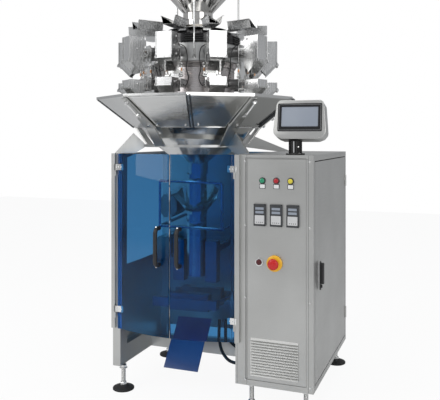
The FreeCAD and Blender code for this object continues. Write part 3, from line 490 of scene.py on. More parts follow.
def hopperShell(mesh, top, gate, drop):
    face, depth, half, wall = 0.462, 0.092, 0.040, 0.0016
    back = face - depth
    low = gate - drop
    bend = low + (face - drop - back)
    outline = [(-face, top), (-face, gate), (-(face - drop), low), (-back, bend), (-back, top)]
    for side in (-1, 1):
        a, b = sorted((side * half, side * (half - wall)))
        prismIn(mesh, outline, a, b)
        boxIn(mesh, (a - 0.003, -face, top - 0.001), (b + 0.003, -back, top + 0.0005))
        outer = side * (half + 0.007)
        a, b = sorted((outer, outer - side * 0.0022))
        boxIn(mesh, (a, -face - 0.005, gate + 0.002), (b, -face + 0.001, top))
        a, b = sorted((outer, outer - side * 0.003))
        prismIn(mesh, [(-face - 0.013, gate - 0.006), (-face - 0.010, gate - 0.008), (-face, gate - 0.008),
                       (-face, gate + 0.016), (-face - 0.006, gate + 0.013), (-face - 0.013, gate + 0.004)],
                a, b)
    boxIn(mesh, (-half - 0.007, -face, gate), (half + 0.007, -face + 0.002, top))
    boxIn(mesh, (-half, -back - wall, bend), (half, -back, top))
    boxIn(mesh, (-half, -back - 0.012, top - 0.002), (half, -back, top))
    bevelled(mesh, 0.0006, 1)
    for side in (-1, 1):
        for z in (top - 0.018, gate + 0.026):
            boltIn(mesh, (side * half, -back - 0.020, z), (side, 0, 0), 0.0045, 0.004)
        boltIn(mesh, (side * half, -back - 0.045, (top + gate) / 2), (side, 0, 0), 0.0045, 0.004)
    for side in (-1, 1):
        a, b = sorted((side * 0.020, side * 0.026))
        prismIn(mesh, [(-back + 0.0005, top - 0.012), (-back + 0.016, top - 0.016),
                       (-back + 0.016, top - 0.050),
                       (-back + 0.010, top - 0.050), (-back + 0.010, top - 0.026),
                       (-back + 0.0005, top - 0.040)],
                a, b)


def hopperRing(name, node, top, gate, drop):
    mesh = drawn(hopperShell, top, gate, drop, heads=True)
    piece(name, mesh, "hopper", replaces=(node,), aroundWeigher=True)


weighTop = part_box("weigh_hoppers")[1][2]
gateHeights = {"feed": 1.862, "weigh": 1.716}
gateDrop = 0.060
hopperRing("feedHopperShells", "feed_hoppers", 2.000, gateHeights["feed"], gateDrop)
hopperRing("weighHopperShells", "weigh_hoppers", weighTop, gateHeights["weigh"], gateDrop)


def gateFlap(mesh, gate):
    slope = math.sqrt(0.5)
    reach, half, face = 0.0909, 0.043, 0.462

    def place(along, off):
        return (-(face - along * slope + off * slope), gate - along * slope - off * slope)

    prismIn(mesh, [place(-0.003, 0.001), place(reach, 0.001), place(reach, 0.003), place(-0.003, 0.003)],
            -half, half)
    for side in (-1, 1):
        a, b = sorted((side * half, side * (half - 0.0016)))
        prismIn(mesh, [place(0.012, 0.001), place(0.018, -0.011), place(reach - 0.008, -0.007),
                       place(reach, 0.001)][::-1], a, b)
    bevelled(mesh, 0.0005, 1)
    rodIn(mesh, (-0.047, -face - 0.007, gate - 0.001), (0.047, -face - 0.007, gate - 0.001), 0.003, 16,
          0.0006)
    for x in (-0.030, 0.0, 0.030):
        rodIn(mesh, (x - 0.007, -face - 0.007, gate - 0.001), (x + 0.007, -face - 0.007, gate - 0.001),
              0.0045, 16)
    y, z = place(0.050, 0.003)
    for x in (-0.022, 0.022):
        screwIn(mesh, (x, y, z), (0, -slope, -slope), 0.0035, 0.0018)


for k in range(headCount):
    for kind, gate in gateHeights.items():
        node = "%s_gate_%02d" % (kind, k + 1)
        piece(kind + "GateFlap%02d" % (k + 1), drawn(gateFlap, gate), "flap", node, (node,),
              headStep * k, True)
print("hoppers and gates dressed")


def driveSteelwork(mesh):
    plate = 0.330
    half = 0.036
    prismIn(mesh, [(-half, 1.690), (half, 1.690), (half, 1.800), (half - 0.010, 1.812),
                   (half - 0.010, 1.838),
                   (half, 1.850), (half, 1.950), (half - 0.012, 1.958), (-half + 0.012, 1.958),
                   (-half, 1.950),
                   (-half, 1.850), (-half + 0.010, 1.838), (-half + 0.010, 1.812), (-half, 1.800)],
            -plate, -plate + 0.003, 1)
    for side in (-1, 1):
        a, b = sorted((side * half, side * (half - 0.004)))
        for z in (1.890, 1.706):
            prismIn(mesh, [(-plate, z), (-plate, z + 0.046), (-0.3697, z + 0.046), (-0.3697, z + 0.030),
                           (-0.352, z + 0.030), (-0.352, z + 0.012), (-0.3697, z + 0.012), (-0.3697, z)], a,
                    b)
    bevelled(mesh, 0.0007, 1)
    for side in (-1, 1):
        for z in (1.776, 1.840):
            rodIn(mesh, (side * 0.028, -plate - 0.005, z), (side * 0.050, -plate - 0.005, z), 0.0085, 20,
                  0.001)
            boltIn(mesh, (side * 0.050, -plate - 0.005, z), (side, 0, 0), 0.005, 0.004)
        rodIn(mesh, (side * 0.045, -plate - 0.005, 1.776), (side * 0.045, -plate - 0.005, 1.840), 0.0035,
              12)
        for z in (1.792, 1.826):
            rodIn(mesh, (side * 0.045, -plate - 0.005, z - 0.005),
                  (side * 0.045, -plate - 0.005, z + 0.005),
                  0.006, 6)
        for x, z in ((0.026, 1.705), (0.026, 1.785), (0.026, 1.865), (0.026, 1.940)):
            boltIn(mesh, (side * x, -plate, z), (0, -1, 0), 0.005, 0.004)
        springIn(mesh, (side * 0.018, -plate - 0.010, 1.716), (side * 0.018, -plate - 0.010, 1.766),
                 0.0050, 0.0010, 9)
        springIn(mesh, (side * 0.016, -plate - 0.010, 1.866), (side * 0.016, -plate - 0.010, 1.926),
                 0.0050, 0.0010, 10)
    for x, z in ((0.0, 1.752), (0.0, 1.900)):
        boxIn(mesh, (x - 0.010, -plate - 0.018, z - 0.014), (x + 0.010, -plate, z + 0.014))


def driveMotors(mesh):
    for z, radius, seat in ((1.922, 0.028, 0.2405), (1.746, 0.024, 0.2155)):
        turn = Matrix.Rotation(math.radians(90), 3, "X")
        profile = [(0, seat), (radius * 0.9, seat), (radius, seat + 0.003)]
        along = seat + 0.010
        while along < 0.310:
            profile += [(radius, along), (radius - 0.002, along + 0.001), (radius - 0.002, along + 0.004),
                        (radius, along + 0.005)]
            along += 0.010
        profile += [(radius, 0.3265), (radius * 0.5, 0.3295), (0, 0.3295)]
        latheIn(mesh, profile, (0, 0, z), 28, turn)


def driveFittings(mesh):
    for side in (-1, 1):
        rodIn(mesh, (side * 0.0445, -0.335, 1.800), (side * 0.0445, -0.335, 1.818), 0.0050, 14, 0.001)
        rodIn(mesh, (side * 0.010, -0.3345, 1.930), (side * 0.010, -0.345, 1.930), 0.0045, 14, 0.001)
        rodIn(mesh, (side * 0.010, -0.3345, 1.722), (side * 0.010, -0.345, 1.722), 0.0045, 14, 0.001)


def driveCables(mesh):
    for side in (-1, 1):
        tubeIn(mesh, smoothLine([(side * 0.024, -0.300, 1.952), (side * 0.052, -0.300, 1.930),
                                 (side * 0.060, -0.292, 1.880), (side * 0.050, -0.282, 1.820),
                                 (side * 0.058, -0.272, 1.770), (side * 0.040, -0.262, 1.730),
                                 (side * 0.020, -0.262, 1.735)], 6), 0.0028, 8)


for name, draw, look in (("headHangers", driveSteelwork, "bright"), ("headMotors", driveMotors, "drive"),
                         ("headBushes", driveFittings, "brass"),
                         ("headCables", driveCables, "blackPlastic")):
    piece(name, drawn(draw, heads=True), look, replaces=("hopper_drives",),
          aroundWeigher=True)
print("head drives dressed")

# drum, top cone, funnel


def turnedPiece(name, profile, look, replaces=(), segments=96, edge=0.0):
    mesh = drawn(latheIn, profile, (0, 0, 0), segments)
    piece(name, mesh, look, replaces=replaces, aroundWeigher=True, edge=edge, sharp=28.0)


# the column's finish carries a painted pinkish reflection in its colour
turnedPiece("drumColumn", [
    (0, 1.6555), (0.212, 1.6555), (0.215, 1.658), (0.215, 1.700), (0.2135, 1.701), (0.2135, 1.703),
    (0.215, 1.704),
    (0.215, 1.836), (0.222, 1.8395), (0.232, 1.862), (0.2345, 1.8645), (0.2345, 1.8651),
], "column", ("drum_body",))
turnedPiece("drumBand", [
    (0.2345, 1.8652), (0.2605, 1.8652), (0.262, 1.8665), (0.262, 1.8775), (0.2605, 1.879), (0.2425, 1.879),
    (0.240, 1.8815), (0.240, 1.968), (0.2385, 1.9695), (0.2385, 1.9715), (0, 1.9715),
], "drumPlate")
turnedPiece("drumTopBand", [
    (0, 1.9723), (0.244, 1.9723), (0.246, 1.974), (0.246, 1.990), (0.2435, 1.9915), (0.2435, 1.996),
    (0.246, 1.9975),
    (0.246, 2.022), (0.243, 2.027), (0.236, 2.0355), (0.230, 2.0395), (0, 2.0395),
], "blackGloss", ("drum_top_ring",))


def drumFittings(mesh):
    for angle in (0, 18):
        turn = Matrix.Rotation(math.radians(angle), 3, "Z")
        for z, radius in ((1.953, 0.240), (1.892, 0.240), (1.680, 0.215), (1.820, 0.215)):
            screwIn(mesh, turn @ Vector((0, -radius, z)), turn @ Vector((0, -1, 0)), 0.0045, 0.0022)
    turn = Matrix.Rotation(math.radians(18), 3, "Z")
    for vert in boxIn(mesh, (-0.0012, -0.2408, 1.884), (0.0012, -0.239, 1.967)):
        vert.co = turn @ vert.co


piece("drumScrews", drawn(drumFittings, heads=True), "bright", aroundWeigher=True)


def sleeves(mesh):  # four ribs between two heads
    radius = 0.250
    turn = Matrix.Rotation(math.radians(headStep / 2), 3, "Z")
    for level in range(4):
        z = 1.980 + 0.012 * level
        arc = [math.radians(-12 + 3 * step) for step in range(9)]
        line = [turn @ Vector((math.sin(a) * radius, -math.cos(a) * radius, z)) for a in arc]
        tubeIn(mesh, line, 0.0035, 8)


piece("drumRibs", drawn(sleeves, heads=True), "rubber", aroundWeigher=True)


def pans(mesh):
    wall, half = 0.002, 0.042
    low, high, inner, outer = 2.046, 2.092, 0.252, 0.408
    outline = [(-half, high), (-half + 0.012, low), (half - 0.012, low), (half, high), (half - wall, high),
               (half - 0.0125, low + wall), (-half + 0.0125, low + wall), (-half + wall, high)]
    prismIn(mesh, outline, -outer, -inner, 1)
    for side in (-1, 1):
        a, b = sorted((side * half, side * (half + 0.006)))
        boxIn(mesh, (a, -outer, high - 0.0015), (b, -inner, high))
    prismIn(mesh, [(-0.030, -0.180), (0.030, -0.180), (0.030, -inner), (-0.030, -inner)][::-1], low,
            low + wall, 2)
    boxIn(mesh, (-0.022, -0.224, 2.0405), (0.022, -0.186, low))
    bevelled(mesh, 0.0006, 1)
    for side in (-1, 1):
        screwIn(mesh, (side * 0.018, -0.300, low + wall), (0, 0, 1), 0.004, 0.002)


piece("feederTroughs", drawn(pans, heads=True), "hopper", replaces=("feeder_pans",),
      aroundWeigher=True)

turnedPiece("dispersionCone", [
    (0, 2.0403), (0.060, 2.0403), (0.060, 2.046), (0.175, 2.0655), (0.177, 2.0665), (0.177, 2.0685),
    (0.174, 2.0695),
    (0.040, 2.0826), (0.020, 2.0865), (0, 2.0878),
], "mirror", ("top_cone",))
turnedPiece("infeedCone", [
    (0.0785, 2.100), (0.080, 2.1005), (0.080, 2.129), (0.0865, 2.130), (0.088, 2.1315), (0.088, 2.1685),
    (0.0865, 2.170), (0.084, 2.1705), (0.262, 2.3625), (0.277, 2.363), (0.278, 2.364), (0.277, 2.365),
    (0.2605, 2.365), (0.078, 2.172), (0.078, 2.1005), (0.0785, 2.100),
], "mirrorCone", ("infeed_funnel",))


def funnelRods(mesh):
    for angle in (18.0, 126.0, 234.0):
        turn = Matrix.Rotation(math.radians(angle), 3, "Z")
        foot = turn @ Vector((0, -0.251, 1.879))
        rodIn(mesh, foot, foot + Vector((0, 0, 0.4655)), 0.005, 16)
        rodIn(mesh, foot, foot + Vector((0, 0, 0.014)), 0.009, 20, 0.001)
        rodIn(mesh, foot + Vector((0, 0, 0.014)), foot + Vector((0, 0, 0.020)), 0.0078, 6)
        rodIn(mesh, foot + Vector((0, 0, 0.449)), foot + Vector((0, 0, 0.4625)), 0.0085, 6)


piece("funnelRods", drawn(funnelRods), "bright", aroundWeigher=True)
print("drum and infeed dressed")

# chute fittings and collecting cone

coneFlat = 0.380 * math.cos(math.pi / 10)
turnedPiece("collectingConeSkin", [
    (0.057, 1.1895), (0.059, 1.1895), (0.059, 1.249), (0.250, 1.398), (coneFlat - 0.029, 1.4948),
    (coneFlat - 0.0005, 1.4948), (coneFlat - 0.0005, 1.4976), (coneFlat - 0.031, 1.4976), (0.248, 1.400),
    (0.057, 1.250), (0.057, 1.1895),
], "mirror", ("collecting_cone",))


chuteFoot, chuteRim = Vector((0, -0.380, 1.498)), Vector((0, -0.585, 1.655))
chuteOut = Vector((0, -0.608, -0.794))


def onChute(angle, along, sideways, off=0.0):  # a spot outside a panel; along 0 is its foot and 1 its rim
    inner = math.cos(math.radians(18.0))
    low = Vector((0, -0.380 * inner, 1.498))
    high = Vector((0, -0.585 * inner, 1.655))
    slope = (high - low).normalized()
    out = Vector((0, slope.z, -slope.y)) if slope.y > 0 else Vector((0, -slope.z, slope.y))
    spot = low + (high - low) * along + Vector((sideways, 0, 0)) + out * off
    return Matrix.Rotation(math.radians(angle), 3, "Z") @ spot


def closeStrip(mesh, loops):
    a, b, c, d = [[mesh.verts.new(p) for p in loop] for loop in loops]
    for quad in ((a[0], a[1], b[1], b[0]), (c[1], c[0], d[0], d[1]), (a[0], b[0], d[0], c[0]),
                 (b[1], a[1], c[1], d[1]), (a[1], a[0], c[0], c[1]), (b[0], b[1], d[1], d[0])):
        mesh.faces.new(quad)


def chuteStrip(mesh, angle, from_, to, halfLow, halfHigh, thick, off=0.0004):
    loops = []
    for along, half in ((from_, halfLow), (to, halfHigh)):
        for depth in (off, off + thick):
            loops.append([onChute(angle, along, side * half, depth) for side in (-1, 1)])
    closeStrip(mesh, loops)


def cornerStrip(mesh, angle, x0, x1, off0, off1):
    turn = Matrix.Rotation(math.radians(angle), 3, "Z")
    loops = []
    for end in (chuteFoot, chuteRim):
        for off in (off0, off1):
            loops.append([turn @ (end + chuteOut * off + Vector((x, 0, 0))) for x in (x0, x1)])
    closeStrip(mesh, loops)


# dark strips flanking each chute corner; their near-black colour is painted shade of the seam gaps
def chuteSeams(mesh):
    for k in range(headCount // 2):
        angle = headStep * (2 * k + 0.5)
        cornerStrip(mesh, angle, -0.0125, -0.0045, -0.006, 0.0045)
        cornerStrip(mesh, angle, 0.0045, 0.0125, -0.006, 0.0045)


def chuteTrim(mesh):
    for k in range(headCount):
        angle = headStep * k
        chuteStrip(mesh, angle, 0.965, 0.992, 0.1655, 0.1700, 0.0016)
        for wide in (0.085, -0.085):
            spot = onChute(angle, 0.06, wide, 0.0003)
            boltIn(mesh, spot, onChute(angle, 0.06, wide, 1.0) - spot, 0.005, 0.0045)


def armFittings(mesh):
    for k in range(headCount // 2):
        turn = Matrix.Rotation(math.radians(headStep * (2 * k + 1.5)), 3, "Z")

        def onArm(along, off):
            return turn @ (chuteFoot + (chuteRim - chuteFoot) * along + chuteOut * off)

        for along in (0.12, 0.40, 0.86):
            boltIn(mesh, onArm(along, 0.0106), turn @ chuteOut, 0.0085, 0.008)
        rodIn(mesh, onArm(0.45, 0.022), onArm(0.93, 0.022), 0.006, 14, 0.001)
        for along in (0.50, 0.88):
            rodIn(mesh, onArm(along, 0.0106), onArm(along, 0.030), 0.009, 6)


# the seam strips carry painted shade
piece("chuteSeams", drawn(chuteSeams), "seamGapShade", aroundWeigher=True)
piece("chuteBolts", drawn(chuteTrim), "bright", aroundWeigher=True)
piece("armClamps", drawn(armFittings), "bright", aroundWeigher=True)
print("chute dressed")

# cabinet front

front = -0.475
panelFace = front + 0.002
lampSpots = {0.301: "lampGreen", 0.376: "lampRed", 0.452: "lampYellow"}


def rounded(width, height, radius, steps=5):
    line = []
    for cx, cz, start in ((width / 2 - radius, height / 2 - radius, 0),
                          (-width / 2 + radius, height / 2 - radius, 90),
                          (-width / 2 + radius, -height / 2 + radius, 180),
                          (width / 2 - radius, -height / 2 + radius, 270)):
        for step in range(steps + 1):
            angle = math.radians(start + 90 * step / steps)
            line.append((cx + radius * math.cos(angle), cz + radius * math.sin(angle)))
    return line


def plateIn(mesh, x, z, width, height, radius, near, far):
    prismIn(mesh, [(x + a, z + b) for a, b in rounded(width, height, radius)], near, far, 1)


def facing(mesh, profile, x, z, face, segments=40):  # stands out of the panel; (radius, reach)
    turn = Matrix.Rotation(math.radians(90), 3, "X")
    latheIn(mesh, profile, (x, face, z), segments, turn)


mesh = bmesh.new()
for x in lampSpots:
    facing(mesh, [(0.0125, 0), (0.0172, 0.0002), (0.0176, 0.0030), (0.0160, 0.0052), (0.0135, 0.0056),
                  (0.0130, 0.0040), (0.0125, 0)], x, 1.216, panelFace)
    plateIn(mesh, x, 1.187, 0.0330, 0.0250, 0.002, panelFace - 0.0024, panelFace - 0.0002)
piece("lampCollars", mesh, "darkPlastic", replaces=("lamps_and_buttons",))
mesh = bmesh.new()
for x in lampSpots:
    plateIn(mesh, x, 1.1865, 0.0270, 0.0190, 0.0015, panelFace - 0.0030, panelFace - 0.0023)
piece("lampPlates", mesh, "whitePlate")
for x, name in lampSpots.items():
    mesh = bmesh.new()
    facing(mesh, [(0, 0.0005), (0.0124, 0.0005), (0.0128, 0.0090), (0.0120, 0.0125), (0.0098, 0.0150),
                  (0.0065, 0.0160), (0, 0.0163)], x, 1.216, panelFace)
    piece(name, mesh, name)

mesh = bmesh.new()
facing(mesh, [(0, 0.0002), (0.0215, 0.0002), (0.0220, 0.0020), (0.0205, 0.0078), (0.0160, 0.0080),
              (0.0155, 0.0050), (0, 0.0050)], 0.284, 0.791, panelFace)
piece("resetRing", mesh, "bright")
mesh = bmesh.new()
facing(mesh, [(0, 0.0052), (0.0150, 0.0052), (0.0150, 0.0115), (0.0135, 0.0138), (0, 0.0140)], 0.284, 0.791,
       panelFace)
piece("resetButton", mesh, "darkRed")

stopLow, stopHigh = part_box("stop_mushroom")
stopX = (stopLow[0] + stopHigh[0]) / 2 - shift.x
stopZ = (stopLow[2] + stopHigh[2]) / 2
mesh = bmesh.new()
facing(mesh, [(0.0200, 0.0002), (0.0415, 0.0002), (0.0420, 0.0010), (0.0418, 0.0085), (0.0400, 0.0100),
              (0.0330, 0.0138), (0.0200, 0.0139), (0.0195, 0.0120), (0.0195, 0.0002)], stopX, stopZ,
       panelFace, 56)
piece("stopDisc", mesh, "yellow")
mesh = bmesh.new()
reach = panelFace - (stopLow[1] - shift.y)
facing(mesh, [(0, reach - 0.034), (0.0165, reach - 0.034), (0.0170, reach - 0.022),
              (0.0235, reach - 0.0205),
              (0.0275, reach - 0.0180), (0.0290, reach - 0.0140), (0.0285, reach - 0.0090),
              (0.0255, reach - 0.0040),
              (0.0200, reach - 0.0012), (0.0100, reach - 0.0002), (0, reach)], stopX, stopZ, panelFace, 56)
piece("stopHead", mesh, "red", "stop_mushroom", ("stop_mushroom",))

units = (0.288, 0.376, 0.464)
low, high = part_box("temperature_controllers")
unitFace = low[1] - shift.y
unitHalf = (high[2] - low[2]) / 2
unitWide = (high[0] - low[0] - (units[2] - units[0])) / 2
unitZ = (low[2] + high[2]) / 2
mesh = bmesh.new()
for x in units:
    plateIn(mesh, x, unitZ, 2 * unitWide, 2 * unitHalf, 0.003, unitFace + 0.0012, panelFace - 0.0003)
    for a, b, c, d in ((-1, -1, 1, -0.90), (-1, 0.90, 1, 1), (-1, -1, -0.86, 1), (0.86, -1, 1, 1)):
        boxIn(mesh, (x + a * unitWide, unitFace, unitZ + b * unitHalf),
              (x + c * unitWide, unitFace + 0.0014, unitZ + d * unitHalf))
piece("controllerCases", mesh, "darkPlastic", replaces=("temperature_controllers",),
      edge=0.0005)
mesh = bmesh.new()
for x in units:
    plateIn(mesh, x, unitZ - unitHalf * 0.42, unitWide * 1.62, unitHalf * 0.80, 0.002, unitFace + 0.0002,
            unitFace + 0.0012)
piece("controllerSilver", mesh, "silver")
mesh = bmesh.new()
for x in units:
    for share in (0.60, 0.26):
        plateIn(mesh, x, unitZ + unitHalf * share, unitWide * 1.40, unitHalf * 0.22, 0.001,
                unitFace + 0.0003,
                unitFace + 0.0012)
piece("controllerWindows", mesh, "display")
mesh = bmesh.new()
for x in units:
    for k in range(4):
        facing(mesh, [(0, 0), (0.0022, 0), (0.0022, 0.0010), (0, 0.0014)], x + (k - 1.5) * 0.0105,
               unitZ - unitHalf * 0.66, unitFace + 0.0002, 16)
piece("controllerKeys", mesh, "darkPlastic")
print("controls dressed")

# operator panel

turn = Matrix.Translation(Vector((0.457, -0.395, 1.425))) @ Matrix.Rotation(math.radians(4.0), 4, "Z") \
    @ Matrix.Rotation(math.radians(-10.0), 4, "X") @ Matrix.Translation(Vector((0.028, 0, 0)))


def panelPiece(name, draw, look, replaces=(), edge=0.0):
    mesh = drawn(draw)
    if edge:
        bevelled(mesh, edge, 3)
    mesh.transform(turn)
    piece(name, mesh, look, "operator_panel", replaces)


wide, tall, deep = 0.275, 0.205, 0.105
shape = [(-wide / 2 + 0.045, 0.0), (wide / 2 - 0.045, 0.0), (wide / 2 - 0.018, 0.010),
         (wide / 2 - 0.002, 0.030),
         (wide / 2, 0.045), (wide / 2 - 0.012, tall - 0.024), (wide / 2 - 0.018, tall - 0.010),
         (wide / 2 - 0.032, tall), (-wide / 2 + 0.032, tall), (-wide / 2 + 0.018, tall - 0.010),
         (-wide / 2 + 0.012, tall - 0.024), (-wide / 2, 0.045), (-wide / 2 + 0.002, 0.030),
         (-wide / 2 + 0.018, 0.010)]
screenZ, screenWide, screenTall = tall * 0.55, wide * 0.84, tall * 0.72


def housing(mesh):
    prismIn(mesh, shape, -deep / 2 + 0.0005, deep / 2 - 0.0005, 1)


def bezelFrame(mesh):
    outer = rounded(screenWide, screenTall, 0.006)
    inner = rounded(screenWide - 0.040, screenTall - 0.044, 0.003)
    rings = []
    near = -deep / 2 - 0.0022
    for line, y, lift in ((outer, near + 0.0030, 0.0), (outer, near + 0.0008, 0.0), (outer, near, 0.0),
                          (inner, near, 0.003), (inner, near + 0.0026, 0.003)):
        grow = 0.996 if y == near and line is outer else 1.0
        rings.append([mesh.verts.new((a * grow, y, screenZ + b * grow + lift)) for a, b in line])
    joinRings(mesh, rings)


def bezelLine(mesh):
    outer = rounded(screenWide - 0.012, screenTall - 0.012, 0.004)
    inner = rounded(screenWide - 0.0145, screenTall - 0.0145, 0.003)
    near = -deep / 2 - 0.0024
    rings = [[mesh.verts.new((a, y, screenZ + b)) for a, b in line]
             for line, y in ((outer, near + 0.0003), (outer, near), (inner, near), (inner, near + 0.0003))]
    joinRings(mesh, rings)


def display(mesh):
    prismIn(mesh, [(a, screenZ + 0.003 + b) for a, b in rounded(screenWide - 0.0395, screenTall - 0.0435,
                                                                0.003)],
            -deep / 2 - 0.0004, -deep / 2 - 0.0001, 1)


def housingScrews(mesh):
    for x in (-wide / 2 + 0.040, wide / 2 - 0.040):
        for z in (0.030, tall - 0.026):
            screwIn(mesh, (x, deep / 2 - 0.0004, z), (0, 1, 0), 0.004, 0.002)
    for k in range(7):
        boxIn(mesh, (-0.040, deep / 2 - 0.0004, 0.070 + 0.009 * k),
              (0.040, deep / 2 + 0.0006, 0.074 + 0.009 * k))


panelPiece("panelHousing", housing, "cabinet", ("hmi_housing",), 0.0035)
panelPiece("panelBezel", bezelFrame, "blackGloss", ("hmi_bezel",))
panelPiece("panelLine", bezelLine, "bright")
panelPiece("panelDisplay", display, "display")
panelPiece("panelScrews", housingScrews, "bright")

mesh = bmesh.new()
neckX, neckY = 0.457, -0.395
latheIn(mesh, [(0, 1.3502), (0.047, 1.3502), (0.050, 1.352), (0.050, 1.3555), (0.048, 1.3575),
               (0.036, 1.358),
               (0.035, 1.360), (0, 1.360)], (neckX, neckY, 0), 48)
for k in range(16):
    turnRib = Matrix.Translation((neckX, neckY, 0)) @ Matrix.Rotation(math.radians(22.5 * k), 4, "Z")
    boxIn(mesh, (-0.0030, -0.0350, 1.3585), (0.0030, -0.0270, 1.4225), turnRib)
latheIn(mesh, [(0, 1.3585), (0.0300, 1.3585), (0.0300, 1.4225), (0.0345, 1.4228), (0.0345, 1.4246),
               (0, 1.4246)],
        (neckX, neckY, 0), 48)
piece("panelNeck", mesh, "rubber", replaces=("hmi_pedestal",))
mesh = bmesh.new()
for angle in (-45, 45, 135, 225):
    a = math.radians(angle)
    screwIn(mesh, (neckX + 0.0425 * math.sin(a), neckY - 0.0425 * math.cos(a), 1.3572), (0, 0, 1), 0.0042,
            0.002)
boxIn(mesh, (neckX - 0.0035, neckY - 0.0358, 1.362), (neckX + 0.0035, neckY - 0.0345, 1.420))
screwIn(mesh, (neckX + 0.022, neckY - 0.0285, 1.392), (0.6, -0.8, 0), 0.0042, 0.003)
piece("panelNeckTrim", mesh, "bright")
print("operator panel dressed")

# cabinet trim: seams, screws, door handle

mesh = bmesh.new()
left, right, low, top = 0.161, 0.580, 0.140, 1.350
for x in (left + 0.0010, left + 0.0545, right - 0.0355):
    boxIn(mesh, (x - 0.0008, front - 0.0003, low + 0.004), (x + 0.0008, front + 0.001, top - 0.002))
boxIn(mesh, (left + 0.056, front - 0.0003, top - 0.0215), (right - 0.037, front + 0.001, top - 0.0200))
piece("cabinetSeams", mesh, "seam")
mesh = bmesh.new()
for z in (low + 0.03, 0.60, 0.98, top - 0.035):
    for x in (left + 0.046, right - 0.028):
        screwIn(mesh, (x, front - 0.0002, z), (0, -1, 0), 0.0042, 0.0016)
for z in (low + 0.05, top - 0.05):
    for x in (left + 0.05, right - 0.05):
        boltIn(mesh, (x, 0.4752, z), (0, 1, 0), 0.006, 0.005)
piece("cabinetScrews", mesh, "bright")

low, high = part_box("side_door_handle")
handleY = (low[1] + high[1]) / 2 - shift.y
z0, z1 = low[2], high[2]
mesh = bmesh.new()
prismIn(mesh, [(handleY + a, (z0 + z1) / 2 + b) for a, b in rounded(0.030, z1 - z0, 0.0148, 8)],
        right + 0.0004,
        right + 0.0055, 0)
prismIn(mesh, [(handleY + a, (z0 + z1) / 2 + 0.012 + b) for a,
               b in rounded(0.0205, z1 - z0 - 0.040, 0.0095, 8)],
        right + 0.0055, right + 0.0215, 0)
latheIn(mesh, [(0, 0), (0.0085, 0), (0.0085, 0.006), (0.0070, 0.0075), (0, 0.0075)],
        (right + 0.0055, handleY, z0 + 0.020), 24, Matrix.Rotation(math.radians(90), 3, "Y"))
piece("sideDoorHandle", mesh, "blackPlastic", "cabinet_side_door", ("side_door_handle",),
      edge=0.0012)

# guard doors

centre, span, stileWide, stileDeep, bulge, sheet = -0.198, 0.358, 0.024, 0.018, 0.058, 0.005
chord = span - stileWide - 0.001
sweep = (chord ** 2 + bulge ** 2) / (2 * bulge)
arcY = front - stileDeep + sweep - bulge


def doorFace(x):
    return arcY - math.sqrt(sweep ** 2 - (x - centre) ** 2)


barrelHeights = (0.4543, 1.2563)  # the leaf's hinge barrels, which stand on those of the frame

for side, name in ((-1, "left"), (1, "right")):
    body = name + "_guard_door"
    mesh = bmesh.new()
    outer, inner = [], []
    for k in range(41):
        x = 0.003 + (chord + 0.002 - 0.003) * k / 40
        outer.append((centre + side * x, doorFace(centre + side * x)))
        inner.append((centre + side * x, arcY - math.sqrt((sweep - sheet) ** 2 - x ** 2)))
    stile = [(centre + side * (chord + 0.002), front - stileDeep),
             (centre + side * (span - 0.008), front - stileDeep),
             (centre + side * (span - 0.008), front - 0.001), (centre + side * chord, front - 0.001),
             (centre + side * chord, inner[-1][1])]
    outline = outer + stile + inner[:-1][::-1]
    prismIn(mesh, outline, 0.360, 1.350, 2)
    piece(name + "DoorLeaf", mesh, "acrylic", body, (body,), edge=0.0006, sharp=25.0)
    mesh = bmesh.new()
    hingeX = centre + side * span
    for z in barrelHeights:
        rodIn(mesh, (hingeX, front - stileDeep, z), (hingeX, front - stileDeep, z + 0.034), 0.0060, 24,
              0.0006)
        a, b = sorted((hingeX - side * 0.006, hingeX - side * 0.046))
        boxIn(mesh, (a, front - stileDeep - 0.0022, z), (b, front - stileDeep - 0.0003, z + 0.034))
        for along in (0.016, 0.032):
            screwIn(mesh, (hingeX - side * along, front - stileDeep - 0.0022, z + 0.017), (0, -1, 0), 0.004,
                    0.0018)
    piece(name + "DoorHinges", mesh, "bright", body)
    x = centre + side * 0.062
    face = doorFace(x - side * 0.013)
    mesh = bmesh.new()
    path = []
    low, high, reach = 0.740, 0.964, 0.055
    for y, z in ((face - 0.0004, low + 0.013), (face - 0.024, low + 0.013), (face - 0.036, low + 0.017),
                 (face - reach + 0.011, low + 0.030), (face - reach + 0.008, low + 0.046)):
        path.append((x, y, z))
    path += [(x, y, low + high - z) for x, y, z in path[::-1]]
    tubeIn(mesh, smoothLine(path, 6), 0.0115, 20)
    for z in (low + 0.013, high - 0.013):
        facing(mesh, [(0, 0.0003), (0.0125, 0.0003), (0.0130, 0.0020), (0.0122, 0.0060), (0, 0.0060)], x, z,
               face, 28)
    piece(name + "DoorHandle", mesh, "blackPlastic", body, (name + "_door_handle",))
    mesh = bmesh.new()
    for z in (low + 0.013, high - 0.013):
        screwIn(mesh, (x, face - 0.0360, z + (0.008 if z > 0.85 else -0.008)),
                (0, -1, 0.4 if z > 0.85 else -0.4),
                0.0050, 0.0030)
    piece(name + "HandleScrews", mesh, "bright", body)
print("guard doors dressed")

# feet

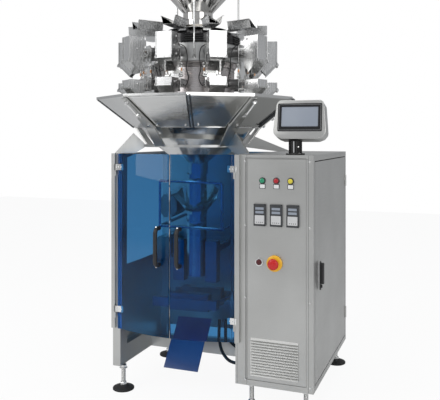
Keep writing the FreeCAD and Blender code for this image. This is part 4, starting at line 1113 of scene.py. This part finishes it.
mesh = bmesh.new()
rods = bmesh.new()
footSpots = [(-0.542, -0.437), (-0.542, 0.167), (0.223, -0.413), (0.518, -0.413), (0.223, 0.413),
             (0.518, 0.413)]
for x, y in footSpots:
    latheIn(mesh, [(0, 0.0), (0.058, 0.0), (0.061, 0.002), (0.061, 0.009), (0.059, 0.0115), (0.046, 0.0150),
                   (0.030, 0.0215), (0.0265, 0.0248), (0, 0.0250)], (x, y, 0), 56)
    for k in range(24):
        spot = Matrix.Translation((x, y, 0)) @ Matrix.Rotation(math.radians(15 * k), 4, "Z")
        boxIn(mesh, (-0.0018, -0.0608, 0.0015), (0.0018, -0.0560, 0.0100), spot)
    profile = [(0, 0.0252), (0.011, 0.0252)]
    z = 0.043
    while z < 0.121:
        profile += [(0.0105, z), (0.0120, z + 0.0012), (0.0120, z + 0.0018)]
        z += 0.003
    latheIn(rods, profile + [(0.0105, 0.1240), (0, 0.1240)], (x, y, 0), 20)
    rodIn(rods, (x, y, 0.0252), (x, y, 0.0410), 0.0195, 6, 0.0012)
    rodIn(rods, (x, y, 0.1240), (x, y, 0.1397), 0.0195, 6, 0.0012)
    latheIn(rods, [(0.010, 0.1210), (0.0225, 0.1210), (0.0225, 0.1236), (0.010, 0.1236)], (x, y, 0), 28)
piece("footPads", mesh, "rubber", replaces=("levelling_feet",))
piece("footStems", rods, "bright")
print("feet dressed")


# floor, white to the camera with a soft shadow; the sides stay open so that the machine is seen all round

floorHalf = 9.0
floorWhite = 0.93


def stageFloor():
    made = bmesh.new()
    bmesh.ops.create_grid(made, x_segments=1, y_segments=1, size=floorHalf)
    mesh = bpy.data.meshes.new("studioFloor")
    made.to_mesh(mesh)
    made.free()
    thing = bpy.data.objects.new("studioFloor", mesh)
    bpy.context.scene.collection.objects.link(thing)
    paint, tree, shader = material("floorPaper")
    shader.inputs["Base Color"].default_value = (0.9, 0.9, 0.9, 1.0)
    shader.inputs["Roughness"].default_value = 0.9
    glow = tree.nodes.new("ShaderNodeEmission")
    glow.inputs["Color"].default_value = (1.0, 1.0, 1.0, 1.0)
    glow.inputs["Strength"].default_value = 1.0
    rays = tree.nodes.new("ShaderNodeLightPath")
    mix = tree.nodes.new("ShaderNodeMixShader")
    share = remap(tree, rays.outputs["Is Camera Ray"], 0.0, 1.0, 0.0, floorWhite)
    tree.links.new(share, mix.inputs["Fac"])
    tree.links.new(shader.outputs["BSDF"], mix.inputs[1])
    tree.links.new(glow.outputs["Emission"], mix.inputs[2])
    tree.links.new(mix.outputs["Shader"], tree.nodes["Material Output"].inputs["Surface"])
    mesh.materials.append(paint)


stageFloor()

# conduits


def conduit(name, points, radius):
    curve = bpy.data.curves.new(name, "CURVE")
    curve.dimensions = "3D"
    curve.bevel_depth = radius
    curve.bevel_resolution = 8
    curve.resolution_u = 16
    curve.use_fill_caps = True
    spline = curve.splines.new("NURBS")
    spline.points.add(len(points) - 1)
    for point, place in zip(spline.points, points):
        point.co = (*at(*place), 1.0)
    spline.order_u = 3
    spline.use_endpoint_u = True
    thing = bpy.data.objects.new(name, curve)
    bpy.context.scene.collection.objects.link(thing)
    curve.materials.append(finish["rubber"])
    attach(thing, "machine")
    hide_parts(name)


conduit("front_conduit", [
    (-0.092, -0.070, 0.392), (-0.090, -0.084, 0.318), (-0.078, -0.118, 0.246), (-0.048, -0.160, 0.190),
    (0.004, -0.200, 0.156), (0.060, -0.229, 0.152), (0.112, -0.240, 0.166), (0.1607, -0.240, 0.166),
], 0.009)
conduit("rear_conduit", [
    (-0.056, -0.060, 0.392), (-0.055, -0.068, 0.330), (-0.046, -0.086, 0.276), (-0.016, -0.108, 0.236),
    (0.032, -0.128, 0.210), (0.092, -0.140, 0.200), (0.1607, -0.140, 0.200),
], 0.009)

# light and camera


def areaLight(name, settings):
    lamp = bpy.data.lights.new(name, "AREA")
    lamp.shape = "RECTANGLE"
    lamp.size, lamp.size_y = settings["size"]
    lamp.energy = settings["power"]
    thing = bpy.data.objects.new(name, lamp)
    bpy.context.scene.collection.objects.link(thing)
    thing.location = settings["at"]
    look = Vector(settings["look"]) - Vector(settings["at"])
    thing.rotation_euler = look.to_track_quat("-Z", "Y").to_euler()


areaLight("keyLight", {"size": (2.6, 3.4), "power": 95.0, "at": (-3.0, -3.6, 3.6), "look": (0.0, 0.0, 1.2)})
areaLight("fillLight", {"size": (2.4, 3.4), "power": 58.0, "at": (3.6, -3.0, 2.6), "look": (0.0, 0.0, 1.0)})
areaLight("topLight", {"size": (3.2, 3.2), "power": 60.0, "at": (0.0, -0.6, 5.0), "look": (0.0, 0.0, 1.0)})

world = bpy.data.worlds.new("studio")
bpy.context.scene.world = world
world.use_nodes = True
sky = world.node_tree
sky.nodes["Background"].inputs["Color"].default_value = (0.92, 0.94, 0.97, 1.0)
sky.nodes["Background"].inputs["Strength"].default_value = 0.47
white = sky.nodes.new("ShaderNodeBackground")
white.inputs["Color"].default_value = (1.0, 1.0, 1.0, 1.0)
white.inputs["Strength"].default_value = 1.0
skyRays = sky.nodes.new("ShaderNodeLightPath")
seen = sky.nodes.new("ShaderNodeMath")
seen.operation = "MAXIMUM"
choice = sky.nodes.new("ShaderNodeMixShader")
sky.links.new(skyRays.outputs["Is Camera Ray"], seen.inputs[0])
sky.links.new(skyRays.outputs["Is Transmission Ray"], seen.inputs[1])
sky.links.new(seen.outputs[0], choice.inputs["Fac"])
sky.links.new(sky.nodes["Background"].outputs["Background"], choice.inputs[1])
sky.links.new(white.outputs["Background"], choice.inputs[2])
sky.links.new(choice.outputs["Shader"], sky.nodes["World Output"].inputs["Surface"])

lens = bpy.data.cameras.new("photoCamera")
lens.lens = 51.69
lens.sensor_width = 36.0
lens.shift_y = -0.1433
camera = bpy.data.objects.new("photoCamera", lens)
bpy.context.scene.collection.objects.link(camera)
camera.location = at(1.2689, -3.6263, 1.4432)
camera.rotation_euler = (math.radians(90.0), 0.0, math.radians(20.91))
bpy.context.scene.camera = camera
bpy.context.scene.view_settings.view_transform = "Standard"
